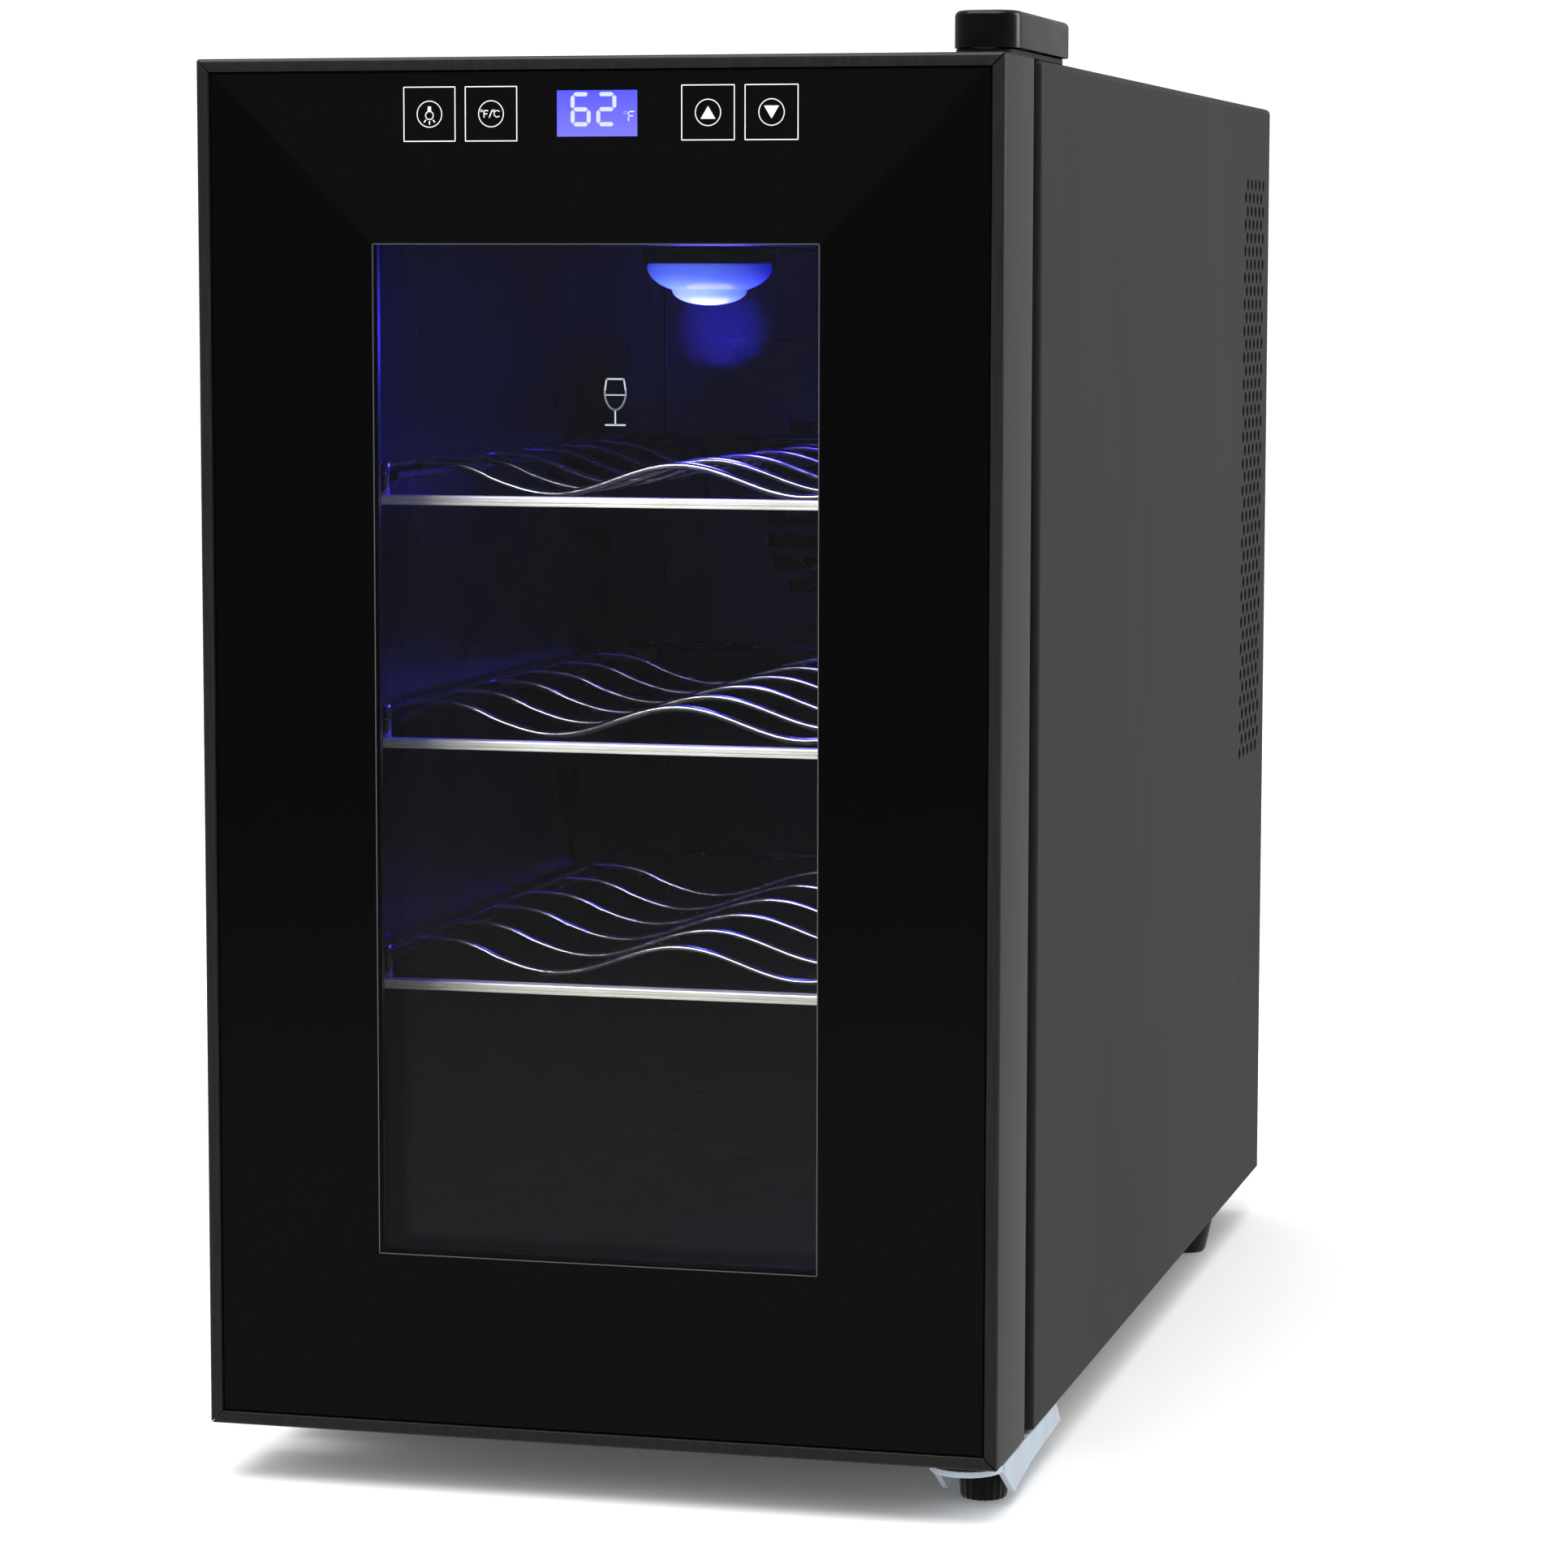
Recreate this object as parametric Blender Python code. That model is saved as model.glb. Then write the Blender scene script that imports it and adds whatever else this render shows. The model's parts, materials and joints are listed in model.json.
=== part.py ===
"""Countertop thermoelectric wine cooler with a glass door and three sliding wire shelves.

Metres, +Z up. The origin is on the floor, midway between the sides and midway between the door's
face and the cabinet's back. The door faces -Y and turns about a pin near its right-hand edge.
"""

import math

import bmesh
import bpy
from mathutils import Vector

# ---- Driving dimensions, metres ----
GAP = 0.0003  # kept between pieces that rest on or pass through each other
WIDTH = 0.252
BODY_HEIGHT = 0.424  # the door's and the cabinet's
FOOT_HEIGHT = 0.018  # floor to the door's lower edge
DOOR_THICKNESS = 0.0423
DOOR_GAP = 0.0132  # the door's back to the cabinet's front, filled by the gasket
CABINET_DEPTH = 0.4645
SHEET = 0.001  # painted steel sheet
BASE_CLEARANCE = 0.0002  # the base plate, below the wrapper's edges
WRAPPER_CORNER = 0.0018
WRAPPER_FLANGE = 0.023  # the wrapper's front edge, folded inwards

VENT_FRONT_TO_BACK = 0.064  # the vent's front edge, ahead of the cabinet's back
VENT_REAR_TO_BACK = 0.017
VENT_LOW = 0.1735  # above the cabinet's lower edge
VENT_TOP_MARGIN = 0.030  # the vent's upper edge, below the cabinet's top
VENT_SLOTS = 22
VENT_SLOT_HEIGHT = 0.0045

SIDE_INSULATION = 0.034  # the cabinet's side to the liner's inside
FLOOR_INSULATION = 0.0475
CEILING_INSULATION = 0.056
REAR_SPACE = 0.110  # the liner's rear wall to the cabinet's back
LINER_WALL = 0.0015
SCREW_POCKET = 0.014  # depth of the foam's pockets for the hinge screws
STEM_POCKET = 0.008
BULKHEAD_SETBACK = 0.0285  # foam behind the liner's rear wall

SHELF_MIDDLE = 0.209  # the middle shelf's front strip, above the cabinet's lower edge
SHELF_PITCH = 0.078
SHELF_SETBACK = 0.0105  # the shelves' front behind the cabinet's front
SHELF_REAR_CLEARANCE = 0.0136  # to the air duct's cover
SHELF_STRIP_HEIGHT = 0.0026
SHELF_STRIP_DEPTH = 0.005
SHELF_SIDE_CLEARANCE = 0.0008
WIRE_RADIUS = 0.0013
ROD_RADIUS = 0.0016
WAVE_HEIGHT = 0.0098  # trough to crest
WAVE_LENGTH = 0.084  # one bottle to the next
WAVE_WIRES = 6
LEDGE_REACH = 0.006
LEDGE_THICKNESS = 0.003

BEZEL = 0.004  # frame seen round the door's glass
BEZEL_RADIUS = 0.0012
FRAME_WALL = 0.002
GLASS_RECESS = 0.0008
OUTER_GLASS = 0.004
GLASS_LEDGE = 0.003
WINDOW_SIDE_MARGIN = 0.0563  # the door's edge to the clear window
WINDOW_LOW_MARGIN = 0.057
WINDOW_TOP_MARGIN = 0.056
SPACER_DEPTH = 0.0078
SPACER_INSET = 0.002  # its inner edge, outside the clear window
SPACER_WIDTH = 0.012
INNER_GLASS = 0.0036
PANEL_WALL = 0.0025
PANEL_SIDE_OPENING = 0.0145  # the inner panel's opening, outside the clear window
PANEL_END_OPENING = 0.010
MITRE_GAP = 0.00045
GASKET_INSET = 0.015
GASKET_WIDTH = 0.014
GASKET_STRIP = 0.003  # depth of its base strip, and how far the neck is set in
GASKET_CUSHION = 0.006

CONTROL_DROP = 0.0169  # middle of the touch keys, below the door's upper edge
CONTROL_BOARD = (0.132, 0.018, 0.0016)
DISPLAY_WINDOW = (0.027, 0.0146)
DISPLAY_DEPTH = 0.007

HINGE_INSET = 0.0125  # the pins' axis, in from the right-hand side
HINGE_SETBACK = 0.030  # the pins' axis, behind the door's face
PIN_RADIUS = 0.003
BUSH_RADIUS = 0.005
BUSH_FLANGE = 0.0066
BUSH_LENGTH = 0.0125
BUSH_FLANGE_THICKNESS = 0.002
PIN_HEAD = 0.0008  # the upper pin's head, wider than the pin
PIN_CHAMFER = 0.001
UPPER_SCREW_SETBACKS = (0.024, 0.044)  # behind the cabinet's front
LOWER_SCREW_SETBACKS = (0.015, 0.036)
HINGE_PLATE_WIDTH = 0.0185
HINGE_PLATE_THICKNESS = 0.0018
HINGE_PLATE_INSET = 0.0012  # inside the cover's ends
COVER_WIDTH = 0.0205
COVER_HEIGHT = 0.0111
COVER_SETBACK = 0.024  # the cover's front, behind the door's face
COVER_REACH = 0.0565  # the cover's back, behind the cabinet's front
COVER_SIDE = 0.0007  # the cover's middle, outside the pins' axis
COVER_WALL = 0.0015
COVER_CORNER = 0.008  # radius of its upright corners
BRACKET_WIDTH = 0.023
BRACKET_SHEET = 0.002
BRACKET_NOSE = 0.0155  # middle of the plate's round front, behind the door's face
BRACKET_PLATE_BACK = 0.100
FLANGE_SETBACK = 0.015
FLANGE_STEPS = ((0.018, 0.0107), (0.044, 0.0075), (0.093, 0.0055))  # (behind its front, below the plate)
SCREW_RADIUS = 0.002
SCREW_HEAD = 0.0036
HINGE_SCREW_HEAD = 0.0022
HINGE_SCREW_LENGTH = 0.012
COVER_SCREW_LENGTH = 0.009
CLAMP_SCREW_HEAD = 0.0025
COVER_SCREW_INSET = 0.012  # the back's screws, in from its edges
COVER_SCREW_TOP_INSET = 0.014

FOOT_RADIUS = 0.0082
FOOT_RIBS = 20
FOOT_RIB_DEPTH = 0.0004
FOOT_STEM = 0.006  # the left foot's stem, above the cabinet's lower edge
LEVELLING_FOOT_LEFT_BACK = 0.092  # behind the door's face
LEVELLING_FOOT_RIGHT_BACK = 0.041
REAR_FOOT_BACK = 0.432
REAR_FOOT_INSET = 0.014
REAR_FOOT_RADIUS = 0.010

COOLER_HEIGHT = 0.272  # middle of the cooling unit, above the cabinet's lower edge
SINK_HALF = 0.050
SINK_BASE = 0.006
FIN_THICKNESS = 0.0014
FIN_PITCH = 0.0066
COLD_FIN = 0.020
HOT_FIN = 0.040
CLAMP_SPACING = 0.040
BLOCK_HALF = 0.020
MODULE_THICKNESS = 0.0036
FAN_HALF = 0.040
FAN_BORE = 0.0375
FAN_HUB = 0.0155
COLD_FAN_DEPTH = 0.015
HOT_FAN_DEPTH = 0.025
FAN_BLADES = 7
FAN_CORNER = 0.004
FAN_ARM = 0.003  # depth of the arms that carry the hub
FAN_ARM_HALF = 0.0025
BLADE_TIP_CLEARANCE = 0.0015
BLADE_ROOT_CHORD = 0.0055
BLADE_TIP_CHORD = 0.010
BLADE_HALF_THICKNESS = 0.0007
FAN_FRONT_CLEARANCE = 0.003
DUCT_HALF = 0.062
DUCT_WALL = 0.0018
DUCT_CORNER = 0.006
DUCT_OUTLET = (0.015, 0.012)
DUCT_OUTLET_PITCH = 0.020
DUCT_OUTLET_SETBACK = 0.016  # middle of the outlets, ahead of the liner's rear wall
SENSOR_RADIUS = 0.003
SENSOR_LENGTH = 0.024
SENSOR_GAP = 0.014  # middle of the capsule, beside the duct's cover
SENSOR_DROP = 0.050  # its lower end, below the cooling unit's middle

LAMP_SETBACK = 0.0795  # behind the cabinet's front
LAMP_RADIUS = 0.0205
LAMP_DEPTH = 0.0135
LAMP_RIM = 0.003  # the lens's straight rim, above its dome
LAMP_LENS_WALL = 0.0014
LAMP_BASE = 0.005
LAMP_BASE_EDGE = 0.0015  # the base outside the lens
LAMP_RECESS = (0.0165, 0.003)  # radius and depth of the board's seat
LAMP_BOARD_THICKNESS = 0.0015
INLET_CENTRE = (0.078, 0.045)  # right of the middle, above the cabinet's lower edge
INLET_SIZE = (0.028, 0.022)
INLET_FLANGE = 0.003
INLET_DEPTH = 0.018
PIN_PITCH = 0.007
EARTH_RISE = 0.002  # the middle pin above the pins' mean height, and the others below it
INLET_PIN = (0.002, 0.012, 0.004)

BOARD_SIDE_INSET = 0.016  # the power board, in from the cabinet's side
BOARD_MIDDLE_INSET = 0.018
BOARD_END_CLEARANCE = 0.008
BOARD_LIFT = 0.0105  # above the base plate
BOARD_THICKNESS = 0.0016
POST_RADIUS = 0.003
POST_INSET = 0.005
CAN_RADIUS = 0.0055
CAN_HEIGHT = 0.018
CAN_PLACES = (0.014, 0.028)  # in from the board's left edge
CAN_INSET = 0.016  # in from its rear edge
SWITCH_PLATE = (0.030, 0.004, 0.022)
SWITCH_INSET = (0.008, 0.010)
TRANSFORMER_WIDTH = 0.030
TRANSFORMER_HEIGHT = 0.026
TRANSFORMER_INSET = 0.006

# ---- Places worked out from them ----
DEPTH = DOOR_THICKNESS + DOOR_GAP + CABINET_DEPTH
HALF = WIDTH / 2
FRONT = -DEPTH / 2
BACK = DEPTH / 2
DOOR_BACK = FRONT + DOOR_THICKNESS
CABINET_FRONT = DOOR_BACK + DOOR_GAP
LOW = FOOT_HEIGHT
HIGH = FOOT_HEIGHT + BODY_HEIGHT
BASE_TOP = LOW - BASE_CLEARANCE
BASE_LOW = BASE_TOP - SHEET
LINER_HALF_WIDTH = HALF - SIDE_INSULATION
LINER_BACK = BACK - REAR_SPACE
BULKHEAD = LINER_BACK + LINER_WALL + BULKHEAD_SETBACK
COVER_FRONT = BACK - 1.5 * SHEET
FLOOR = LOW + FLOOR_INSULATION
CEILING = HIGH - CEILING_INSULATION
COOLER_Z = LOW + COOLER_HEIGHT
COLD_BASE_BACK = LINER_BACK - GAP
COLD_BASE_FRONT = COLD_BASE_BACK - SINK_BASE
COLD_FAN_FRONT = COLD_BASE_FRONT - COLD_FIN - GAP - COLD_FAN_DEPTH
DUCT_FRONT = COLD_FAN_FRONT - FAN_FRONT_CLEARANCE - DUCT_WALL
HINGE_X = HALF - HINGE_INSET
HINGE_Y = FRONT + HINGE_SETBACK
PLATE_TOP = BASE_LOW - GAP
SHELF_FRONT = CABINET_FRONT + SHELF_SETBACK
SHELF_BACK = DUCT_FRONT - SHELF_REAR_CLEARANCE
SHELF_LEVELS = {
    "shelf_lower": LOW + SHELF_MIDDLE - SHELF_PITCH,
    "shelf_middle": LOW + SHELF_MIDDLE,
    "shelf_upper": LOW + SHELF_MIDDLE + SHELF_PITCH,
}
WINDOW_HALF_WIDTH = HALF - WINDOW_SIDE_MARGIN
WINDOW_LOW = LOW + WINDOW_LOW_MARGIN
WINDOW_HIGH = HIGH - WINDOW_TOP_MARGIN
GLASS_BACK = FRONT + GLASS_RECESS + OUTER_GLASS
INNER_GLASS_FRONT = GLASS_BACK + SPACER_DEPTH + 2 * GAP
INNER_GLASS_BACK = INNER_GLASS_FRONT + INNER_GLASS
PANEL_WINDOW = (
    WINDOW_HALF_WIDTH + PANEL_SIDE_OPENING,
    WINDOW_LOW - PANEL_END_OPENING,
    WINDOW_HIGH + PANEL_END_OPENING,
)


# ---- Shapes ----
def box(shape, low, high):
    """Adds a box between two corners."""
    corners = [[(low[axis], high[axis])[pick[axis]] for axis in range(3)] for pick in
               [(0, 0, 0), (1, 0, 0), (1, 1, 0), (0, 1, 0), (0, 0, 1), (1, 0, 1), (1, 1, 1), (0, 1, 1)]]
    hexahedron(shape, corners)


def hexahedron(shape, corners):
    """Adds a six-sided solid from four corners below and the four above them."""
    points = [shape.verts.new(corner) for corner in corners]
    for face in [(3, 2, 1, 0), (4, 5, 6, 7), (0, 1, 5, 4), (1, 2, 6, 5), (2, 3, 7, 6), (3, 0, 4, 7)]:
        shape.faces.new([points[index] for index in face])


def block(low, high):
    shape = bmesh.new()
    box(shape, low, high)
    return shape


def centred(centre, size):
    """A box about a centre."""
    low = [middle - length / 2 for middle, length in zip(centre, size)]
    high = [middle + length / 2 for middle, length in zip(centre, size)]
    return block(low, high)


def merged(*shapes):
    """One bmesh with the bodies of several."""
    whole = bmesh.new()
    for shape in shapes:
        mesh = bpy.data.meshes.new("scratch")
        shape.to_mesh(mesh)
        shape.free()
        whole.from_mesh(mesh)
        bpy.data.meshes.remove(mesh)
    return whole


def prism(outline, axis, start, end):
    """Pushes a flat outline along an axis; its points are in the other two axes, in X, Y, Z order."""
    shape = bmesh.new()
    index = "XYZ".index(axis)
    rings = []
    for place in (start, end):
        ring = []
        for point in outline:
            corner = list(point)
            corner.insert(index, place)
            ring.append(shape.verts.new(corner))
        rings.append(ring)
    shape.faces.new(rings[0])
    shape.faces.new(list(reversed(rings[1])))
    for here in range(len(outline)):
        there = (here + 1) % len(outline)
        shape.faces.new([rings[0][here], rings[0][there], rings[1][there], rings[1][here]])
    return shape


def turned(profile, centre, axis="Z", sides=16):
    """Revolves (radius, height) points; a profile that starts off the axis closes on itself."""
    shape = bmesh.new()
    rings = []
    for radius, height in profile:
        around = sides if radius else 1
        turns = [2 * math.pi * (step + 0.5) / sides for step in range(around)]
        rings.append([shape.verts.new((radius * math.cos(t), radius * math.sin(t), height)) for t in turns])
    pairs = list(zip(rings, rings[1:]))
    if profile[0][0]:
        pairs.append((rings[-1], rings[0]))
    for upper, lower in pairs:
        if len(upper) == len(lower) == 1:
            continue
        for here in range(sides):
            there = (here + 1) % sides
            corners = [upper[here % len(upper)], lower[here % len(lower)]]
            corners += [lower[there % len(lower)], upper[there % len(upper)]]
            shape.faces.new(list(dict.fromkeys(corners)))
    direction = Vector([float(axis == name) for name in "XYZ"])
    turn = Vector((0, 0, 1)).rotation_difference(direction).to_matrix()
    bmesh.ops.transform(shape, matrix=turn.to_4x4(), verts=shape.verts)
    bmesh.ops.translate(shape, vec=Vector(centre), verts=shape.verts)
    return shape


def rod(centre, radius, start, end, axis="Z", sides=12):
    """A round bar about an axis through centre, from one place along it to another."""
    centre = [*centre, 0][:3]
    centre["XYZ".index(axis)] = 0
    return turned([(0, end), (radius, end), (radius, start), (0, start)], centre, axis, sides)


def wire(points, radius, sides=6):
    """A round wire along points that lie in one plane of constant Y."""
    shape = bmesh.new()
    rings = []
    for index, point in enumerate(points):
        before = Vector(points[max(index - 1, 0)])
        after = Vector(points[min(index + 1, len(points) - 1)])
        across = (after - before).normalized().cross(Vector((0, 1, 0)))
        ring = []
        for step in range(sides):
            turn = 2 * math.pi * step / sides
            offset = across * math.cos(turn) + Vector((0, 1, 0)) * math.sin(turn)
            ring.append(shape.verts.new(Vector(point) + radius * offset))
        rings.append(ring)
    for first, second in zip(rings, rings[1:]):
        for here in range(sides):
            there = (here + 1) % sides
            shape.faces.new([first[here], first[there], second[there], second[here]])
    shape.faces.new(rings[0])
    shape.faces.new(list(reversed(rings[-1])))
    return shape


def ring(*loops):
    """A closed rectangular ring whose section runs through (half width, low, high, y) loops."""
    shape = bmesh.new()
    rows = []
    for half, low, high, y in loops:
        corners = [(-half, y, low), (half, y, low), (half, y, high), (-half, y, high)]
        rows.append([shape.verts.new(corner) for corner in corners])
    for index, row in enumerate(rows):
        following = rows[(index + 1) % len(rows)]
        for here in range(4):
            there = (here + 1) % 4
            shape.faces.new([row[here], row[there], following[there], following[here]])
    return shape


def round_edges(shape, axis, radius, segments=3):
    """Rounds the edges that run along one axis."""
    index = "XYZ".index(axis)
    edges = []
    for edge in shape.edges:
        along = (edge.verts[1].co - edge.verts[0].co).normalized()
        if abs(along[index]) > 0.99:
            edges.append(edge)
    bmesh.ops.bevel(shape, geom=edges, offset=radius, segments=segments, profile=0.5, affect="EDGES")


# ---- Objects ----
def linear(channel):
    return channel / 12.92 if channel <= 0.04045 else ((channel + 0.055) / 1.055) ** 2.4


def finish(name, colour, roughness, metallic=0.0):
    """A material from an sRGB hex colour."""
    found = bpy.data.materials.get(name)
    if found:
        return found
    made = bpy.data.materials.new(name)
    made.use_nodes = True
    shader = made.node_tree.nodes["Principled BSDF"]
    channels = [linear(int(colour[place:place + 2], 16) / 255) for place in (0, 2, 4)]
    shader.inputs["Base Color"].default_value = (*channels, 1)
    shader.inputs["Roughness"].default_value = roughness
    shader.inputs["Metallic"].default_value = metallic
    made.diffuse_color = (*channels, 1)
    return made


def pivot(name, place):
    """An empty on a joint's axis."""
    empty = bpy.data.objects.new(name, None)
    empty.location = place
    bpy.context.collection.objects.link(empty)
    return empty


def middle_of(shape):
    """The middle of a shape's box."""
    spans = [[vertex.co[axis] for vertex in shape.verts] for axis in range(3)]
    return Vector([(min(span) + max(span)) / 2 for span in spans])


def placed(name, shape, origin, parent):
    """Turns a shape drawn in the part's frame into an object with the origin given."""
    bmesh.ops.recalc_face_normals(shape, faces=shape.faces)
    if shape.calc_volume(signed=True) < 0:
        bmesh.ops.reverse_faces(shape, faces=shape.faces)
    bmesh.ops.translate(shape, vec=-origin, verts=shape.verts)
    mesh = bpy.data.meshes.new(name)
    shape.to_mesh(mesh)
    shape.free()
    body = bpy.data.objects.new(name, mesh)
    bpy.context.collection.objects.link(body)
    body.parent = parent
    body.location = origin - parent.location if parent else origin
    return body


def piece(name, shape, look, parent=None, smooth=False):
    """A named sub-part; a moving one has its origin on its pivot."""
    origin = parent.location.copy() if parent else middle_of(shape)
    body = placed(name, shape, origin, parent)
    body.data.materials.append(look)
    if smooth:
        body.data.shade_smooth()
        body.data.set_sharp_from_angle(angle=math.radians(35))
    return body


def shaped(body, shape, operation):
    """Cuts a shape from a body, or joins it on."""
    origin = body.location + body.parent.location if body.parent else body.location.copy()
    helper = placed(body.name + "_helper", shape, origin, body.parent)
    helper.hide_render = True
    helper.display_type = "WIRE"
    helper.hide_set(True)
    boolean = body.modifiers.new(operation.lower(), "BOOLEAN")
    boolean.operation = operation
    boolean.object = helper
    return body


def cut(body, shape):
    return shaped(body, shape, "DIFFERENCE")


def join(body, shape):
    return shaped(body, shape, "UNION")


def painted_steel():
    return finish("painted_steel", "4A4A49", 0.45)


def black_plastic():
    return finish("black_plastic", "161616", 0.35)


def zinc_steel():
    return finish("zinc_steel", "C4D2DC", 0.3, 1.0)


def aluminium():
    return finish("aluminium", "C8CACC", 0.4, 1.0)


def chrome_wire():
    return finish("chrome_wire", "E8E6E2", 0.15, 1.0)


def liner_plastic():
    return finish("liner_plastic", "1C1C1D", 0.4)


def circuit_board():
    return finish("circuit_board", "1F5A34", 0.5)


# ---- Cabinet shell ----
def cabinet_wrapper():
    """One folded sheet: two sides, the top and a front edge turned inwards, with a vent each side."""
    shape = block((-HALF, CABINET_FRONT, LOW), (HALF, BACK, HIGH))
    round_edges(shape, "Y", WRAPPER_CORNER)
    body = piece("cabinet_wrapper", shape, painted_steel())
    inside = HALF - SHEET
    cut(body, block((-inside, CABINET_FRONT + SHEET, LOW - SHEET * 5), (inside, BACK + SHEET, HIGH - SHEET)))
    mouth = HALF - WRAPPER_FLANGE
    cut(body, block((-mouth, CABINET_FRONT - SHEET, LOW - SHEET * 5),
                    (mouth, CABINET_FRONT + 2 * SHEET, HIGH - WRAPPER_FLANGE)))
    cut(body, merged(*vent_slots()))
    cut(body, merged(*[rod((HINGE_X, y), SCREW_RADIUS + GAP, HIGH - 5 * SHEET, HIGH + 5 * SHEET, sides=8)
                       for y in upper_screw_places()]))


def vent_slots():
    """Level slots through both sides, beside the hot heat sink."""
    pitch = (BODY_HEIGHT - VENT_TOP_MARGIN - VENT_LOW) / VENT_SLOTS
    slots = []
    for row in range(VENT_SLOTS):
        middle = LOW + VENT_LOW + pitch * (row + 0.5)
        low = (-HALF - SHEET, BACK - VENT_FRONT_TO_BACK, middle - VENT_SLOT_HEIGHT / 2)
        high = (HALF + SHEET, BACK - VENT_REAR_TO_BACK, middle + VENT_SLOT_HEIGHT / 2)
        slots.append(block(low, high))
    return slots


def base_plate():
    """Bottom sheet with its front edge turned up between the wrapper's."""
    half = HALF - 2.5 * SHEET
    outline = [
        (CABINET_FRONT, BASE_LOW),
        (BACK - 2 * SHEET, BASE_LOW),
        (BACK - 2 * SHEET, BASE_TOP),
        (CABINET_FRONT + SHEET, BASE_TOP),
        (CABINET_FRONT + SHEET, LOW + WRAPPER_FLANGE),
        (CABINET_FRONT, LOW + WRAPPER_FLANGE),
    ]
    body = piece("base_plate", prism(outline, "X", -half, half), painted_steel())
    side = HALF - WRAPPER_FLANGE - GAP
    notches = [block((min(edge, 2 * edge), CABINET_FRONT - SHEET, LOW - GAP / 4),
                     (max(edge, 2 * edge), CABINET_FRONT + 1.5 * SHEET, LOW + 2 * WRAPPER_FLANGE))
               for edge in (-side, side)]
    cut(body, merged(*notches))
    holes = [rod((x, y), SCREW_RADIUS + GAP, BASE_LOW - SHEET, BASE_TOP + SHEET, sides=8)
             for x, y in lower_screw_places()]
    stem = levelling_foot_left_place()
    holes.append(rod(stem, PIN_RADIUS + GAP, BASE_LOW - SHEET, BASE_TOP + SHEET, sides=12))
    cut(body, merged(*holes))


def inner_liner():
    """Moulded box with a front flange; the ledges under the shelves' side rods stop the shelves' fronts."""
    flange_front = CABINET_FRONT + SHEET + GAP
    flange_half = HALF - SHEET - GAP
    shape = block((-flange_half, flange_front, BASE_TOP + GAP),
                  (flange_half, flange_front + LINER_WALL, HIGH - SHEET - GAP))
    body = piece("inner_liner", shape, liner_plastic())
    outer = LINER_HALF_WIDTH + LINER_WALL
    join(body, block((-outer, flange_front + LINER_WALL / 2, FLOOR - LINER_WALL),
                     (outer, LINER_BACK + LINER_WALL, CEILING + LINER_WALL)))
    ledges_front = SHELF_FRONT + SHELF_STRIP_DEPTH + GAP
    cut(body, prism(liner_cavity_outline(), "Y", ledges_front, LINER_BACK))
    cut(body, block((-LINER_HALF_WIDTH, CABINET_FRONT - SHEET, FLOOR),
                    (LINER_HALF_WIDTH, ledges_front, CEILING)))
    port = BLOCK_HALF + GAP
    cut(body, block((-port, LINER_BACK - SHEET, COOLER_Z - port),
                    (port, LINER_BACK + 5 * SHEET, COOLER_Z + port)))
    cut(body, merged(*clamp_holes(LINER_BACK - SHEET, LINER_BACK + 5 * SHEET)))


def liner_cavity_outline():
    """The liner's inside seen from the front, stepped in at the ledges."""
    right = [(LINER_HALF_WIDTH, FLOOR)]
    for level in sorted(SHELF_LEVELS.values()):
        top = ledge_top(level)
        right.append((LINER_HALF_WIDTH, top - LEDGE_THICKNESS))
        right.append((LINER_HALF_WIDTH - LEDGE_REACH, top - LEDGE_THICKNESS))
        right.append((LINER_HALF_WIDTH - LEDGE_REACH, top))
        right.append((LINER_HALF_WIDTH, top))
    right.append((LINER_HALF_WIDTH, CEILING))
    return right + [(-x, z) for x, z in reversed(right)]


def ledge_top(level):
    """A ledge carries a shelf's side rods, which are level with the crests of its wires."""
    return side_rod_height(level) - ROD_RADIUS - GAP


def side_rod_height(level):
    return level + SHELF_STRIP_HEIGHT / 2 + WAVE_HEIGHT


def insulation_foam():
    """Foam between the liner and the steel, open at the front and bored for the cooling unit."""
    half = HALF - SHEET - GAP
    front = CABINET_FRONT + SHEET + LINER_WALL + 2 * GAP
    shape = block((-half, front, BASE_TOP + GAP), (half, BULKHEAD - GAP, HIGH - SHEET - GAP))
    body = piece("insulation_foam", shape, finish("foam", "E6DFC4", 0.9))
    pocket = LINER_HALF_WIDTH + LINER_WALL + GAP
    cut(body, block((-pocket, front - SHEET, FLOOR - LINER_WALL - GAP),
                    (pocket, LINER_BACK + LINER_WALL + GAP, CEILING + LINER_WALL + GAP)))
    port = BLOCK_HALF + 2 * GAP
    cut(body, block((-port, LINER_BACK, COOLER_Z - port), (port, BULKHEAD + SHEET, COOLER_Z + port)))
    cut(body, merged(*clamp_holes(LINER_BACK, BULKHEAD + SHEET)))
    cut(body, merged(*[rod((HINGE_X, y), SCREW_RADIUS + 2 * GAP, HIGH - SCREW_POCKET, HIGH, sides=8)
                       for y in upper_screw_places()]))
    screws = [rod((x, y), SCREW_RADIUS + 2 * GAP, BASE_LOW, LOW + SCREW_POCKET, sides=8)
              for x, y in lower_screw_places()]
    stem = rod(levelling_foot_left_place(), PIN_RADIUS + 2 * GAP, BASE_LOW, LOW + STEM_POCKET, sides=12)
    cut(body, merged(stem, *screws))


def rear_bulkhead():
    """Sheet that closes the foam and carries the hot side."""
    half = HALF - SHEET - GAP
    shape = block((-half, BULKHEAD, BASE_TOP + GAP), (half, BULKHEAD + SHEET, HIGH - SHEET - GAP))
    body = piece("rear_bulkhead", shape, finish("galvanised_steel", "A9AEB1", 0.45, 1.0))
    port = BLOCK_HALF + 2 * GAP
    cut(body, block((-port, BULKHEAD - SHEET, COOLER_Z - port),
                    (port, BULKHEAD + 2 * SHEET, COOLER_Z + port)))
    cut(body, merged(*clamp_holes(BULKHEAD - SHEET, BULKHEAD + 2 * SHEET)))


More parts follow.
